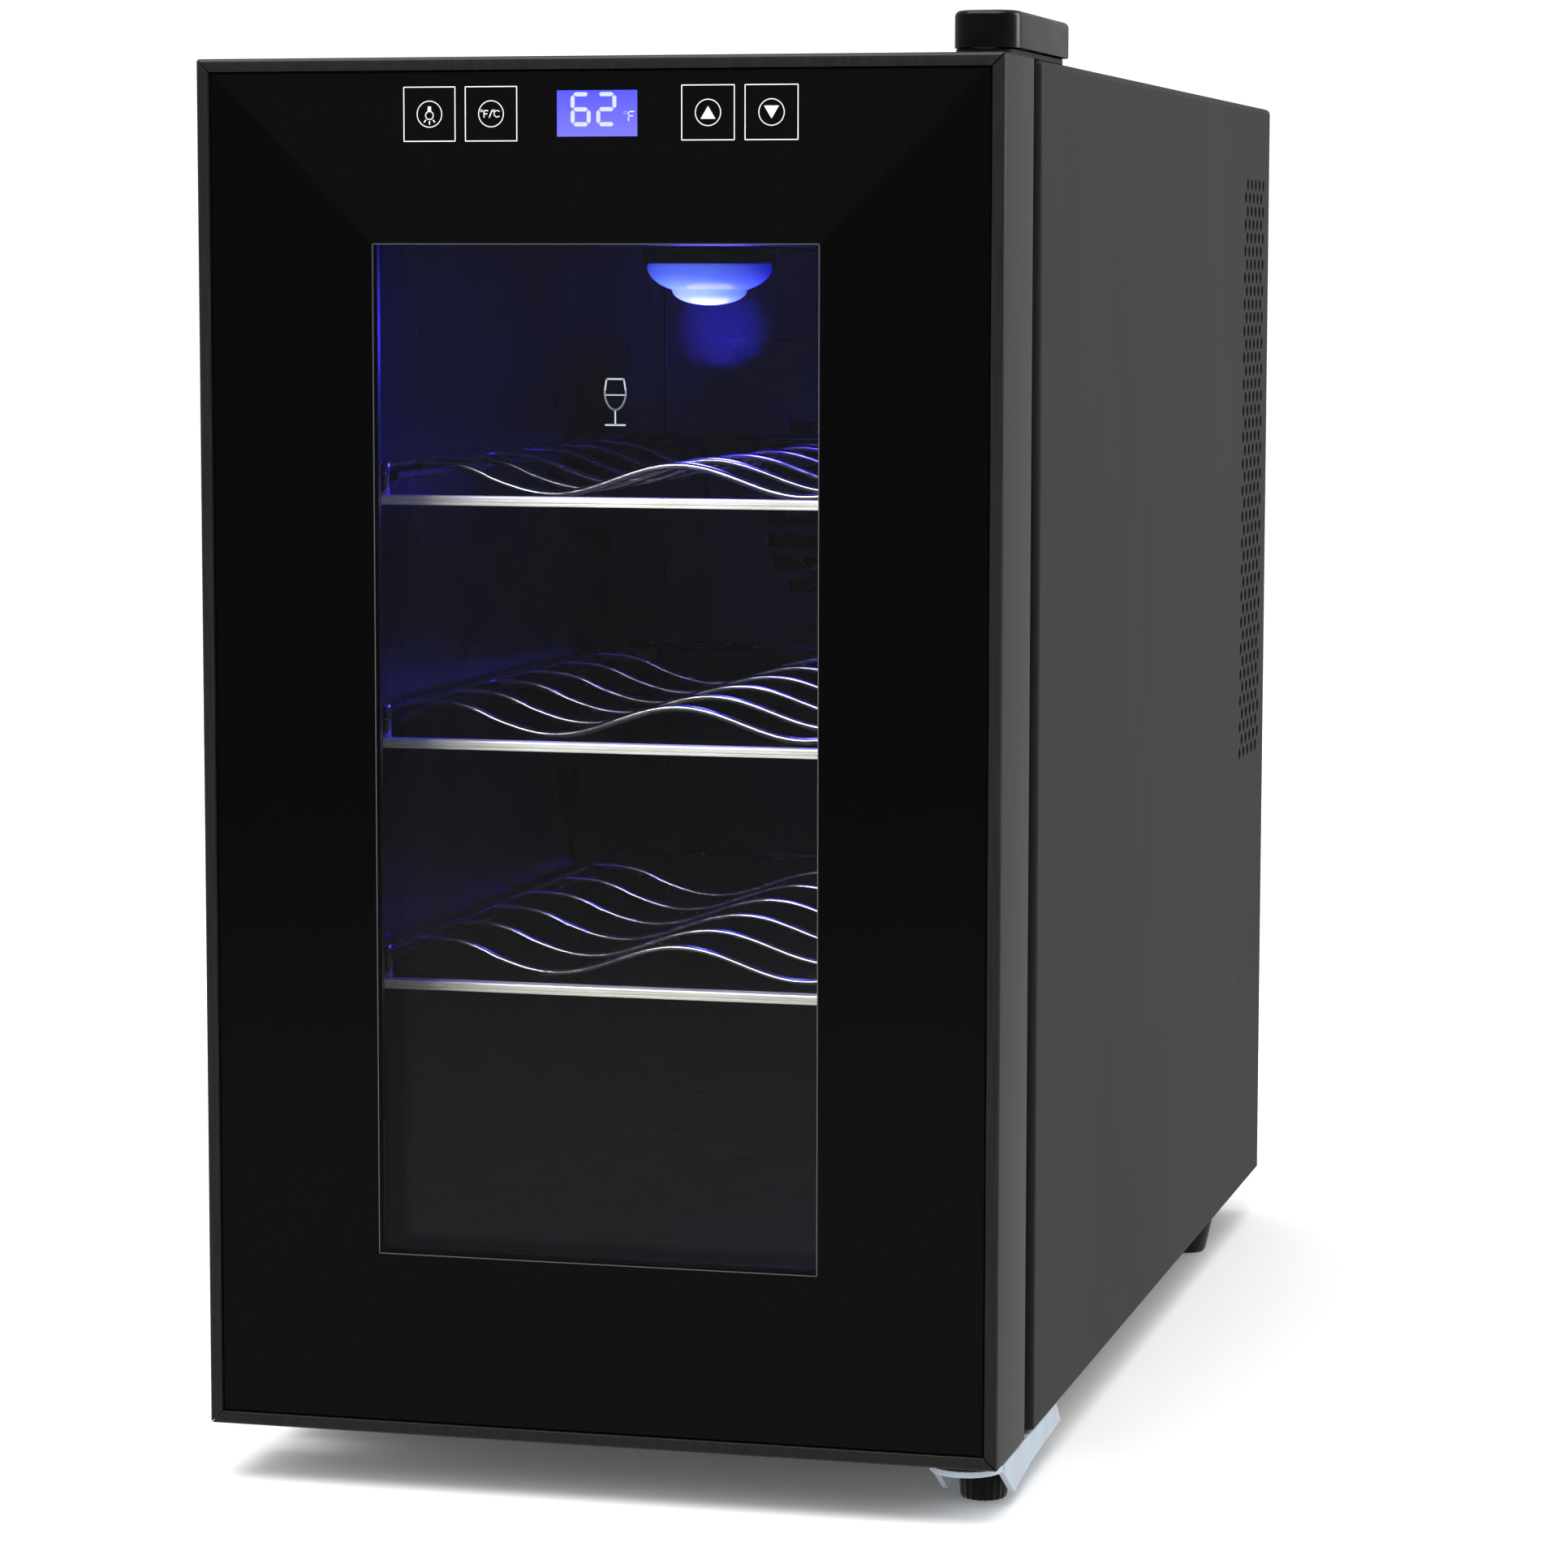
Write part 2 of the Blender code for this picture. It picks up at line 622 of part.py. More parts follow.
def rear_cover():
    """Back sheet with a slotted fan grille, an opening for the inlet and four screws."""
    half = HALF - SHEET - GAP
    shape = block((-half, COVER_FRONT, BASE_TOP + GAP), (half, COVER_FRONT + SHEET, HIGH - SHEET - GAP))
    body = piece("rear_cover", shape, painted_steel())
    x, z = INLET_CENTRE
    opening = [length / 2 + GAP for length in INLET_SIZE]
    inlet = block((x - opening[0], COVER_FRONT - SHEET, LOW + z - opening[1]),
                  (x + opening[0], BACK + SHEET, LOW + z + opening[1]))
    cut(body, merged(inlet, *grille_slots(COVER_FRONT, FAN_HALF * 0.95, 9)))
    cut(body, merged(*[rod((x, 0, z), SCREW_RADIUS + GAP, COVER_FRONT - SHEET, BACK + SHEET, "Y", 8)
                       for x, z in cover_screw_places().values()]))


def grille_slots(face, half, count):
    """Level slots whose ends follow a circle, through a wall at face."""
    pitch = 2 * half / count
    slots = []
    for row in range(count):
        height = -half + pitch * (row + 0.5)
        reach = math.sqrt((half + pitch) ** 2 - height ** 2)
        low = (-reach, face - 3 * SHEET, COOLER_Z + height - pitch * 0.27)
        high = (reach, face + 3 * SHEET, COOLER_Z + height + pitch * 0.27)
        slots.append(block(low, high))
    return slots


def cover_screw_places():
    x = HALF - COVER_SCREW_INSET
    low, high = LOW + COVER_SCREW_INSET, HIGH - COVER_SCREW_TOP_INSET
    return {
        "rear_cover_screw_low_left": (-x, low),
        "rear_cover_screw_low_right": (x, low),
        "rear_cover_screw_high_left": (-x, high),
        "rear_cover_screw_high_right": (x, high),
    }


def rear_cover_screws():
    """Pan-head screws with their heads just inside the wrapper's rear edge."""
    face = COVER_FRONT + SHEET + GAP
    for name, (x, z) in cover_screw_places().items():
        profile = pan_head(face, BACK - face - GAP / 3, -COVER_SCREW_LENGTH)
        piece(name, turned(profile, (x, 0, z), "Y", 10), zinc_steel(), smooth=True)


def pan_head(seat, head, shank):
    """A pan-head screw's profile: the head stands off the seat one way and the shank the other."""
    way = math.copysign(1, head)
    profile = [
        (0, seat + head),
        (SCREW_HEAD * 0.7, seat + head),
        (SCREW_HEAD, seat + head * 0.4),
        (SCREW_HEAD, seat),
        (SCREW_RADIUS - GAP / 2, seat),
        (SCREW_RADIUS - GAP / 2, seat + shank),
        (0, seat + shank),
    ]
    return profile if way > 0 else list(reversed(profile))


# ---- Cooling unit ----
def clamp_holes(start, end):
    return [rod((x, 0, COOLER_Z), SCREW_RADIUS + GAP, start, end, "Y", 8)
            for x in (-CLAMP_SPACING, CLAMP_SPACING)]


def comb_outline(base, root, tip):
    """A finned extrusion's section; fins keep clear of the clamp screws' heads."""
    count = int((SINK_HALF - FIN_THICKNESS) / FIN_PITCH)
    places = [index * FIN_PITCH for index in range(count, -count - 1, -1)]
    places = [x for x in places if abs(abs(x) - CLAMP_SPACING) > SCREW_HEAD + FIN_THICKNESS]
    outline = [(-SINK_HALF, base), (SINK_HALF, base), (SINK_HALF, root)]
    for x in places:
        right, left = x + FIN_THICKNESS / 2, x - FIN_THICKNESS / 2
        outline += [(right, root), (right, tip), (left, tip), (left, root)]
    return outline + [(-SINK_HALF, root)]


def heat_sink(name, base, root, tip):
    low, high = COOLER_Z - SINK_HALF, COOLER_Z + SINK_HALF
    body = piece(name, prism(comb_outline(base, root, tip), "Z", low, high), aluminium())
    cut(body, merged(*clamp_holes(min(base, root) - SHEET, max(base, root) + SHEET)))


def cooling_unit():
    """Cold sink, transfer block, thermoelectric module and hot sink, clamped front to back."""
    heat_sink("cold_heat_sink", COLD_BASE_BACK, COLD_BASE_FRONT, COLD_BASE_FRONT - COLD_FIN)
    block_back = BULKHEAD - SHEET
    piece("cold_transfer_block",
          block((-BLOCK_HALF, LINER_BACK, COOLER_Z - BLOCK_HALF),
                (BLOCK_HALF, block_back, COOLER_Z + BLOCK_HALF)),
          aluminium())
    module_front = block_back + GAP
    module_back = module_front + MODULE_THICKNESS
    piece("thermoelectric_module",
          block((-BLOCK_HALF, module_front, COOLER_Z - BLOCK_HALF),
                (BLOCK_HALF, module_back, COOLER_Z + BLOCK_HALF)),
          finish("ceramic", "E9E7E0", 0.5))
    hot_base = module_back + GAP
    hot_root = hot_base + SINK_BASE
    heat_sink("hot_heat_sink", hot_base, hot_root, hot_root + HOT_FIN)
    for name, x in (("clamp_screw_left", -CLAMP_SPACING), ("clamp_screw_right", CLAMP_SPACING)):
        seat = hot_root + GAP
        profile = pan_head(seat, CLAMP_SCREW_HEAD, COLD_BASE_FRONT - seat)
        piece(name, turned(profile, (x, 0, COOLER_Z), "Y", 8), zinc_steel(), smooth=True)
    fan("cold_fan", COLD_FAN_FRONT, COLD_FAN_DEPTH)
    fan("hot_fan", hot_root + HOT_FIN + GAP, HOT_FAN_DEPTH)
    air_duct_cover()


def fan(name, front, depth):
    """A square frame with four arms at its back, and a rotor whose spindle runs in the arms' hub."""
    back = front + depth
    shape = block((-FAN_HALF, front, COOLER_Z - FAN_HALF), (FAN_HALF, back, COOLER_Z + FAN_HALF))
    round_edges(shape, "Y", FAN_CORNER, 2)
    frame = piece(name + "_frame", shape, black_plastic())
    centre = (0, 0, COOLER_Z)
    arms = back - 2 * FAN_ARM
    cut(frame, rod(centre, FAN_BORE, front - SHEET, back - FAN_ARM, "Y", 24))
    cut(frame, merged(*[sector(quarter, arms, back + SHEET) for quarter in range(4)]))
    spindle = PIN_RADIUS / 2
    cut(frame, rod(centre, spindle + GAP, arms, back + SHEET, "Y", 8))
    axis = pivot(name + "_axis", (0, (front + back) / 2, COOLER_Z))
    hub_front = front + GAP
    hub_back = back - FAN_ARM - GAP
    hub = [
        (0, back - GAP),
        (spindle, back - GAP),
        (spindle, hub_back),
        (FAN_HUB, hub_back),
        (FAN_HUB, hub_front + SHEET),
        (FAN_HUB - SHEET, hub_front),
        (0, hub_front),
    ]
    rotor = piece(name + "_rotor", turned(hub, centre, "Y", 16), black_plastic(), axis, True)
    join(rotor, fan_blades(hub_front + SHEET, hub_back - SHEET))


def sector(quarter, start, end):
    """A quarter of the ring between a fan's hub and its bore, less the arms either side."""
    inner, outer = FAN_HUB, FAN_BORE
    outline = []
    for radius, order in ((outer, range(7)), (inner, range(3, -1, -1))):
        steps = 6 if radius == outer else 3
        edge = math.asin(FAN_ARM_HALF / radius)
        for step in order:
            turn = quarter * math.pi / 2 + edge + (math.pi / 2 - 2 * edge) * step / steps
            outline.append((radius * math.cos(turn), COOLER_Z + radius * math.sin(turn)))
    return prism(outline, "Y", start, end)


def fan_blades(front, back):
    """Pitched blades, rooted in the hub."""
    shape = bmesh.new()
    stations = ((FAN_HUB - 2 * SHEET, BLADE_ROOT_CHORD), (FAN_BORE - BLADE_TIP_CLEARANCE, BLADE_TIP_CHORD))
    middle, reach = (front + back) / 2, (back - front) / 2
    for blade in range(FAN_BLADES):
        turn = 2 * math.pi * blade / FAN_BLADES
        outward = Vector((math.cos(turn), 0, math.sin(turn)))
        across = Vector((-math.sin(turn), 0, math.cos(turn)))
        corners = []
        for radius, chord in stations:
            for side, face in ((-1, 1), (1, 1), (1, -1), (-1, -1)):
                thick = face * BLADE_HALF_THICKNESS
                place = outward * math.sqrt(radius ** 2 - chord ** 2)
                place += across * (side * chord + thick)
                place += Vector((0, middle + side * reach - thick, COOLER_Z))
                corners.append(place)
        hexahedron(shape, corners)
    return shape


def air_duct_cover():
    """Moulded cover over the cold side, slotted at the fan and open in slots above and below."""
    low = (-DUCT_HALF, DUCT_FRONT, COOLER_Z - DUCT_HALF)
    shape = block(low, (DUCT_HALF, LINER_BACK - GAP, COOLER_Z + DUCT_HALF))
    round_edges(shape, "Y", DUCT_CORNER, 3)
    body = piece("air_duct_cover", shape, liner_plastic())
    inner = DUCT_HALF - DUCT_WALL
    cavity = block((-inner, DUCT_FRONT + DUCT_WALL, COOLER_Z - inner),
                   (inner, LINER_BACK + SHEET, COOLER_Z + inner))
    round_edges(cavity, "Y", DUCT_CORNER - SHEET, 3)
    cut(body, cavity)
    cut(body, merged(*grille_slots(DUCT_FRONT, FAN_HALF * 0.85, 8)))
    outlets = []
    for side in (-1, 1):
        for place in (-2, -1, 0, 1, 2):
            centre = (place * DUCT_OUTLET_PITCH, LINER_BACK - DUCT_OUTLET_SETBACK)
            outlets.append(centred((*centre, COOLER_Z + side * DUCT_HALF), (*DUCT_OUTLET, 6 * DUCT_WALL)))
    cut(body, merged(*outlets))


def temperature_sensor():
    """Thermistor capsule in front of the liner's rear wall."""
    radius = SENSOR_RADIUS
    centre = (DUCT_HALF + SENSOR_GAP, LINER_BACK - radius - GAP, 0)
    bottom = COOLER_Z - SENSOR_DROP
    ends = ((0, 0), (radius / 6, radius * 0.7), (radius * 2 / 3, radius))
    profile = [(reach, bottom + rise) for rise, reach in ends]
    profile += [(reach, bottom + SENSOR_LENGTH - rise) for rise, reach in reversed(ends)]
    profile.reverse()
    look = finish("white_plastic", "D8D8D4", 0.4)
    piece("temperature_sensor", turned(profile, centre, sides=12), look, smooth=True)


# ---- Power supply ----
def power_supply():
    """Circuit board on four posts with its transformer, behind the bulkhead."""
    left, right = -HALF + BOARD_SIDE_INSET, -BOARD_MIDDLE_INSET
    front, back = BULKHEAD + SHEET + BOARD_END_CLEARANCE, COVER_FRONT - BOARD_END_CLEARANCE
    under = BASE_TOP + BOARD_LIFT
    top = under + BOARD_THICKNESS
    inside = (under + top) / 2
    board = piece("power_board", block((left, front, under), (right, back, top)), circuit_board())
    posts = [rod((x, y), POST_RADIUS, BASE_TOP + GAP, inside, sides=8)
             for x in (left + POST_INSET, right - POST_INSET)
             for y in (front + POST_INSET, back - POST_INSET)]
    join(board, merged(*posts))
    cans = [rod((left + place, back - CAN_INSET), CAN_RADIUS, inside, top + CAN_HEIGHT)
            for place in CAN_PLACES]
    plate_x, plate_y = left + SWITCH_INSET[0], front + SWITCH_INSET[1]
    switching = block((plate_x, plate_y, inside),
                      (plate_x + SWITCH_PLATE[0], plate_y + SWITCH_PLATE[1], top + SWITCH_PLATE[2]))
    join(board, merged(switching, *cans))
    side = right - TRANSFORMER_INSET
    piece("power_transformer",
          block((side - TRANSFORMER_WIDTH, plate_y, top + GAP),
                (side, back - 2 * TRANSFORMER_INSET, top + TRANSFORMER_HEIGHT)),
          finish("transformer_tape", "C9A227", 0.5))


def power_inlet():
    """Three-pin appliance inlet moulded in one with its flange."""
    x, height = INLET_CENTRE
    z = LOW + height
    half_x, half_z = (length / 2 for length in INLET_SIZE)
    outside = BACK - GAP / 3
    deep = COVER_FRONT - INLET_DEPTH
    shape = block((x - half_x, deep, z - half_z), (x + half_x, outside, z + half_z))
    body = piece("power_inlet", shape, black_plastic())
    inner_x, inner_z = half_x - INLET_FLANGE, half_z - INLET_FLANGE
    cut(body, block((x - inner_x, deep + INLET_FLANGE, z - inner_z),
                    (x + inner_x, BACK + SHEET, z + inner_z)))
    pin_y = deep + INLET_FLANGE + INLET_PIN[1] / 2 - SHEET
    pins = [centred((x + PIN_PITCH * place, pin_y, z + rise), INLET_PIN)
            for place, rise in ((-1, -EARTH_RISE), (0, EARTH_RISE), (1, -EARTH_RISE))]
    join(body, merged(*pins))


# ---- Lamp ----
def lamp():
    """Ceiling lamp: a base with a recess for its board, and a domed lens below it."""
    centre = (0, CABINET_FRONT + LAMP_SETBACK, 0)
    top = CEILING - GAP
    under = top - LAMP_BASE
    edge = LAMP_RADIUS + LAMP_BASE_EDGE
    recess, deep = LAMP_RECESS
    floor = under + deep
    base = [(0, top), (edge, top), (edge, under), (recess, under), (recess, floor), (0, floor)]
    piece("lamp_base", turned(base, centre, sides=24), black_plastic(), smooth=True)
    board_top = floor - GAP
    board_low = board_top - LAMP_BOARD_THICKNESS
    reach = recess - 3 * GAP
    board = [(0, board_top), (reach, board_top), (reach, board_low), (0, board_low)]
    piece("lamp_board", turned(board, centre, sides=16), circuit_board())
    lens_top = under - GAP
    dome = LAMP_DEPTH - LAMP_RIM
    steps = 5
    outer = [(LAMP_RADIUS, lens_top)]
    for step in range(steps):
        turn = math.pi / 2 * step / steps
        outer.append((LAMP_RADIUS * math.cos(turn), lens_top - LAMP_RIM - dome * math.sin(turn)))
    outer.append((0, lens_top - LAMP_DEPTH))
    inner = [(max(radius - LAMP_LENS_WALL, 0), min(height + LAMP_LENS_WALL, lens_top))
             for radius, height in reversed(outer)]
    look = finish("lamp_lens", "8FB4FF", 0.3)
    piece("lamp_lens", turned(outer + inner, centre, sides=24), look, smooth=True)


# ---- Shelves ----
def shelf_shape(name, level, look):
    """A welded wire shelf on its slide: front strip, side rods, rear bar and waved cross wires."""
    slide = pivot(name + "_slide", (0, SHELF_FRONT, level))
    half = LINER_HALF_WIDTH - SHELF_SIDE_CLEARANCE
    strip_top = level + SHELF_STRIP_HEIGHT / 2
    front, back = SHELF_FRONT, SHELF_BACK
    shape = block((-half, front, level - SHELF_STRIP_HEIGHT / 2),
                  (half, front + SHELF_STRIP_DEPTH, strip_top))
    body = piece(name, shape, look, slide, True)
    rod_x = half - ROD_RADIUS
    rod_z = side_rod_height(level)
    riser = [block((side * rod_x - ROD_RADIUS * 0.8, front + 0.0006, level),
                   (side * rod_x + ROD_RADIUS * 0.8, front + SHELF_STRIP_DEPTH - 0.0006, rod_z + 0.0002))
             for side in (-1, 1)]
    join(body, merged(*riser))
    rods = [rod((side * rod_x, 0, rod_z), ROD_RADIUS, front + 0.0002, back, "Y", 8) for side in (-1, 1)]
    join(body, merged(*rods))
    bar = wire([(-rod_x, back - 0.004, rod_z), (rod_x, back - 0.004, rod_z)], WIRE_RADIUS)
    join(body, merged(bar, *[waved_wire(place, rod_x, rod_z) for place in wave_wire_places()]))


def wave_wire_places():
    """The cross wires' places, evenly from the front strip to the rear bar."""
    pitch = (SHELF_BACK - SHELF_FRONT) / (WAVE_WIRES + 1)
    return [SHELF_FRONT + pitch * (number + 0.75) for number in range(WAVE_WIRES)]


def waved_wire(y, reach, crest):
    """A cross wire with a trough under each bottle and its ends in the side rods."""
    steps = 12
    points = []
    for step in range(steps + 1):
        x = -reach + 2 * reach * step / steps
        drop = WAVE_HEIGHT / 2 * (1 - math.cos(2 * math.pi * x / WAVE_LENGTH))
        edge = min(1.0, (reach - abs(x)) / (reach - WAVE_LENGTH * 0.75))
        points.append((x, y, crest - drop * edge))
    return wire(points, WIRE_RADIUS)


def shelves():
    for name, level in SHELF_LEVELS.items():
        shelf_shape(name, level, chrome_wire())


# ---- Door ----
def frame_profile():
    """The frame's section as (in from the door's edge, behind the door's face) points."""
    ledge = GLASS_BACK - FRONT + GAP
    corner = []
    for step in range(4):
        turn = math.pi / 2 * step / 3
        corner.append((BEZEL_RADIUS * (1 - math.sin(turn)), BEZEL_RADIUS * (1 - math.cos(turn))))
    return corner + [
        (0, DOOR_THICKNESS),
        (FRAME_WALL, DOOR_THICKNESS),
        (FRAME_WALL, ledge + FRAME_WALL),
        (BEZEL + GLASS_LEDGE, ledge + FRAME_WALL),
        (BEZEL + GLASS_LEDGE, ledge),
        (BEZEL, ledge),
        (BEZEL, 0),
    ]


def frame_bar(name, side, axis):
    """One side of the door's frame, mitred at both ends."""
    shape = bmesh.new()
    ends = ([], [])
    for inset, behind in frame_profile():
        for end, way in enumerate((-1, 1)):
            if side in ("top", "bottom"):
                x = way * (HALF - inset - MITRE_GAP / 2)
                z = HIGH - inset if side == "top" else LOW + inset
            else:
                x = HALF - inset if side == "right" else inset - HALF
                z = (LOW + inset + MITRE_GAP / 2) if way < 0 else (HIGH - inset - MITRE_GAP / 2)
            ends[end].append(shape.verts.new((x, FRONT + behind, z)))
    shape.faces.new(ends[0])
    shape.faces.new(list(reversed(ends[1])))
    for here in range(len(ends[0])):
        there = (here + 1) % len(ends[0])
        shape.faces.new([ends[0][here], ends[0][there], ends[1][there], ends[1][here]])
    return piece(name, shape, finish("door_frame", "2B2B2B", 0.35, 0.3), axis)


def door_frame(axis):
    frame_bar("door_stile_left", "left", axis)
    frame_bar("door_stile_right", "right", axis)
    hole = BUSH_RADIUS + GAP
    top = frame_bar("door_rail_top", "top", axis)
    cut(top, rod((HINGE_X, HINGE_Y), hole, HIGH - 2 * FRAME_WALL, HIGH + FRAME_WALL, sides=16))
    bottom = frame_bar("door_rail_bottom", "bottom", axis)
    cut(bottom, rod((HINGE_X, HINGE_Y), hole, LOW - FRAME_WALL, LOW + 2 * FRAME_WALL, sides=16))


def widened(window, margin):
    """A (half width, lower edge, upper edge) opening made larger all round."""
    return window[0] + margin, window[1] - margin, window[2] + margin


def door_glazing(axis):
    """Printed outer glass, a spacer round the window and an inner glass that covers the panel's opening."""
    edge = BEZEL + GAP
    glass = finish("black_glass", "0E0E0E", 0.05)
    outer_low = (edge - HALF, FRONT + GLASS_RECESS, LOW + edge)
    piece("outer_glass", block(outer_low, (HALF - edge, GLASS_BACK, HIGH - edge)), glass, axis)
    inner = widened((WINDOW_HALF_WIDTH, WINDOW_LOW, WINDOW_HIGH), SPACER_INSET)
    outer = widened(inner, SPACER_WIDTH)
    front, back = GLASS_BACK + GAP, INNER_GLASS_FRONT - GAP
    piece("glass_spacer", ring((*inner, front), (*outer, front), (*outer, back), (*inner, back)),
          finish("spacer", "3A3A3A", 0.45), axis)
    half, low, high = widened(PANEL_WINDOW, PANEL_WALL)
    piece("inner_glass", block((-half, INNER_GLASS_FRONT, low), (half, INNER_GLASS_BACK, high)), glass, axis)


def door_inner_panel(axis):
    """Moulded back of the door, with a tunnel round its opening that backs the inner glass."""
    edge = FRAME_WALL + GAP
    outer = (HALF - edge, LOW + edge, HIGH - edge)
    tunnel = widened(PANEL_WINDOW, PANEL_WALL)
    flare = widened(PANEL_WINDOW, PANEL_WALL / 2)
    back = DOOR_BACK - GAP
    start = INNER_GLASS_BACK + GAP
    piece("door_inner_panel",
          ring((*PANEL_WINDOW, start), (*tunnel, start),
               (*tunnel, back - PANEL_WALL), (*outer, back - PANEL_WALL),
               (*outer, back), (*flare, back)), liner_plastic(), axis)


def door_gasket(axis):
    """Magnetic gasket: a base strip, a bellows neck and a sealing cushion."""
    def loop(inset, y):
        edge = GASKET_INSET + inset
        return (HALF - edge, LOW + edge, HIGH - edge, y)

    front, back = DOOR_BACK, CABINET_FRONT - GAP
    neck_front, neck_back = front + GASKET_STRIP, back - GASKET_CUSHION
    outer = [(0, front), (0, neck_front), (GASKET_STRIP, neck_front), (GASKET_STRIP, neck_back),
             (SHEET, neck_back), (SHEET, back)]
    inner = [(GASKET_WIDTH - inset, y) for inset, y in reversed(outer)]
    section = [loop(inset, y) for inset, y in outer + inner]
    piece("door_gasket", ring(*section), finish("gasket_rubber", "131313", 0.7), axis)


def door_controls(axis):
    """Touch board behind the glass, with the display in a window of it."""
    z = HIGH - CONTROL_DROP
    front = GLASS_BACK + GAP
    half, rise = CONTROL_BOARD[0] / 2, CONTROL_BOARD[1] / 2
    back = front + CONTROL_BOARD[2]
    shape = block((-half, front, z - rise), (half, back, z + rise))
    board = piece("touch_board", shape, circuit_board(), axis)
    half_x, half_z = (length / 2 for length in DISPLAY_WINDOW)
    cut(board, block((-half_x - GAP, front - SHEET, z - half_z - GAP),
                     (half_x + GAP, back + SHEET, z + half_z + GAP)))
    piece("display_module", block((-half_x, front, z - half_z), (half_x, front + DISPLAY_DEPTH, z + half_z)),
          finish("display", "17172A", 0.4), axis)


def hinge_bushes(axis):
    """Nylon bushes in the top and bottom rails."""
    look = finish("nylon", "D9D5C8", 0.5)
    bore = PIN_RADIUS + GAP
    low_seat = LOW - GAP
    washer = PLATE_TOP + GAP
    top = LOW + BUSH_LENGTH
    lower = [(bore, top), (BUSH_RADIUS, top), (BUSH_RADIUS, low_seat), (BUSH_FLANGE, low_seat),
             (BUSH_FLANGE, washer), (bore, washer)]
    piece("lower_hinge_bush", turned(lower, (HINGE_X, HINGE_Y, 0)), look, axis, True)
    high_seat = HIGH - FRAME_WALL - GAP
    under = HIGH - BUSH_LENGTH
    flange_low = high_seat - BUSH_FLANGE_THICKNESS
    upper = [(bore, HIGH - GAP), (BUSH_RADIUS, HIGH - GAP),
             (BUSH_RADIUS, high_seat), (BUSH_FLANGE, high_seat),
             (BUSH_FLANGE, flange_low), (BUSH_RADIUS, flange_low), (BUSH_RADIUS, under), (bore, under)]
    piece("upper_hinge_bush", turned(upper, (HINGE_X, HINGE_Y, 0)), look, axis, True)


def door():
    axis = pivot("door_hinge_axis", (HINGE_X, HINGE_Y, LOW))
    door_frame(axis)
    door_glazing(axis)
    door_inner_panel(axis)
    door_gasket(axis)
    door_controls(axis)
    hinge_bushes(axis)


# ---- Hinges ----
def upper_screw_places():
    """Y of the upper hinge plate's two screws, in the cabinet's top."""
    return [CABINET_FRONT + setback for setback in UPPER_SCREW_SETBACKS]


def lower_screw_places():
    """(X, Y) of the lower bracket's two screws, in the base plate."""
    return [(HINGE_X, CABINET_FRONT + setback) for setback in LOWER_SCREW_SETBACKS]


def upper_hinge():
    """Plate on the cabinet's top that reaches over the door, its pin, its screws and its cover."""
    front = FRONT + COVER_SETBACK
    back = CABINET_FRONT + COVER_REACH
    bottom = HIGH + GAP
    top = bottom + HINGE_PLATE_THICKNESS
    half = HINGE_PLATE_WIDTH / 2
    shape = block((HINGE_X - half, front + HINGE_PLATE_INSET, bottom),
                  (HINGE_X + half, back - HINGE_PLATE_INSET, top))
    round_edges(shape, "Z", COVER_CORNER - HINGE_PLATE_INSET, 4)
    plate = piece("upper_hinge_plate", shape, painted_steel())
    holes = [rod((HINGE_X, y), SCREW_RADIUS + GAP, HIGH, top + SHEET, sides=8) for y in upper_screw_places()]
    holes.append(rod((HINGE_X, HINGE_Y), PIN_RADIUS + GAP, HIGH, top + SHEET, sides=12))
    cut(plate, merged(*holes))
    end = HIGH - BUSH_LENGTH
    head = PIN_RADIUS + PIN_HEAD
    pin = [(0, top + PIN_CHAMFER * 1.4), (head, top + PIN_CHAMFER),
           (head, top + GAP), (PIN_RADIUS, top + GAP),
           (PIN_RADIUS, end + PIN_CHAMFER), (0, end)]
    piece("upper_hinge_pin", turned(pin, (HINGE_X, HINGE_Y, 0), sides=12), zinc_steel(), smooth=True)
    for name, y in zip(("upper_hinge_screw_front", "upper_hinge_screw_rear"), upper_screw_places()):
        profile = pan_head(top + GAP, HINGE_SCREW_HEAD, -HINGE_SCREW_LENGTH)
        piece(name, turned(profile, (HINGE_X, y, 0), sides=10), zinc_steel(), smooth=True)
    hinge_cover(front, back, top + GAP)


def hinge_cover(front, back, bottom):
    """Moulded cap over the upper hinge, open underneath."""
    middle = HINGE_X + COVER_SIDE
    low = (middle - COVER_WIDTH / 2, front, bottom)
    high = (middle + COVER_WIDTH / 2, back, bottom + COVER_HEIGHT)
    shape = block(low, high)
    round_edges(shape, "Z", COVER_CORNER, 4)
    body = piece("hinge_cover", shape, black_plastic())
    cavity = block((low[0] + COVER_WALL, low[1] + COVER_WALL, bottom - SHEET),
                   (high[0] - COVER_WALL, high[1] - COVER_WALL, high[2] - COVER_WALL))
    round_edges(cavity, "Z", COVER_CORNER - COVER_WALL, 4)
    cut(body, cavity)


def flange_outline():
    """The bracket's side flange seen from the right: deep under the door, shallower under the cabinet."""
    under = PLATE_TOP - BRACKET_SHEET
    start = FRONT + FLANGE_SETBACK
    steps = [(start + behind, under - drop) for behind, drop in FLANGE_STEPS]
    return [(start, PLATE_TOP), (start, under)] + steps + [(FRONT + BRACKET_PLATE_BACK, PLATE_TOP)]


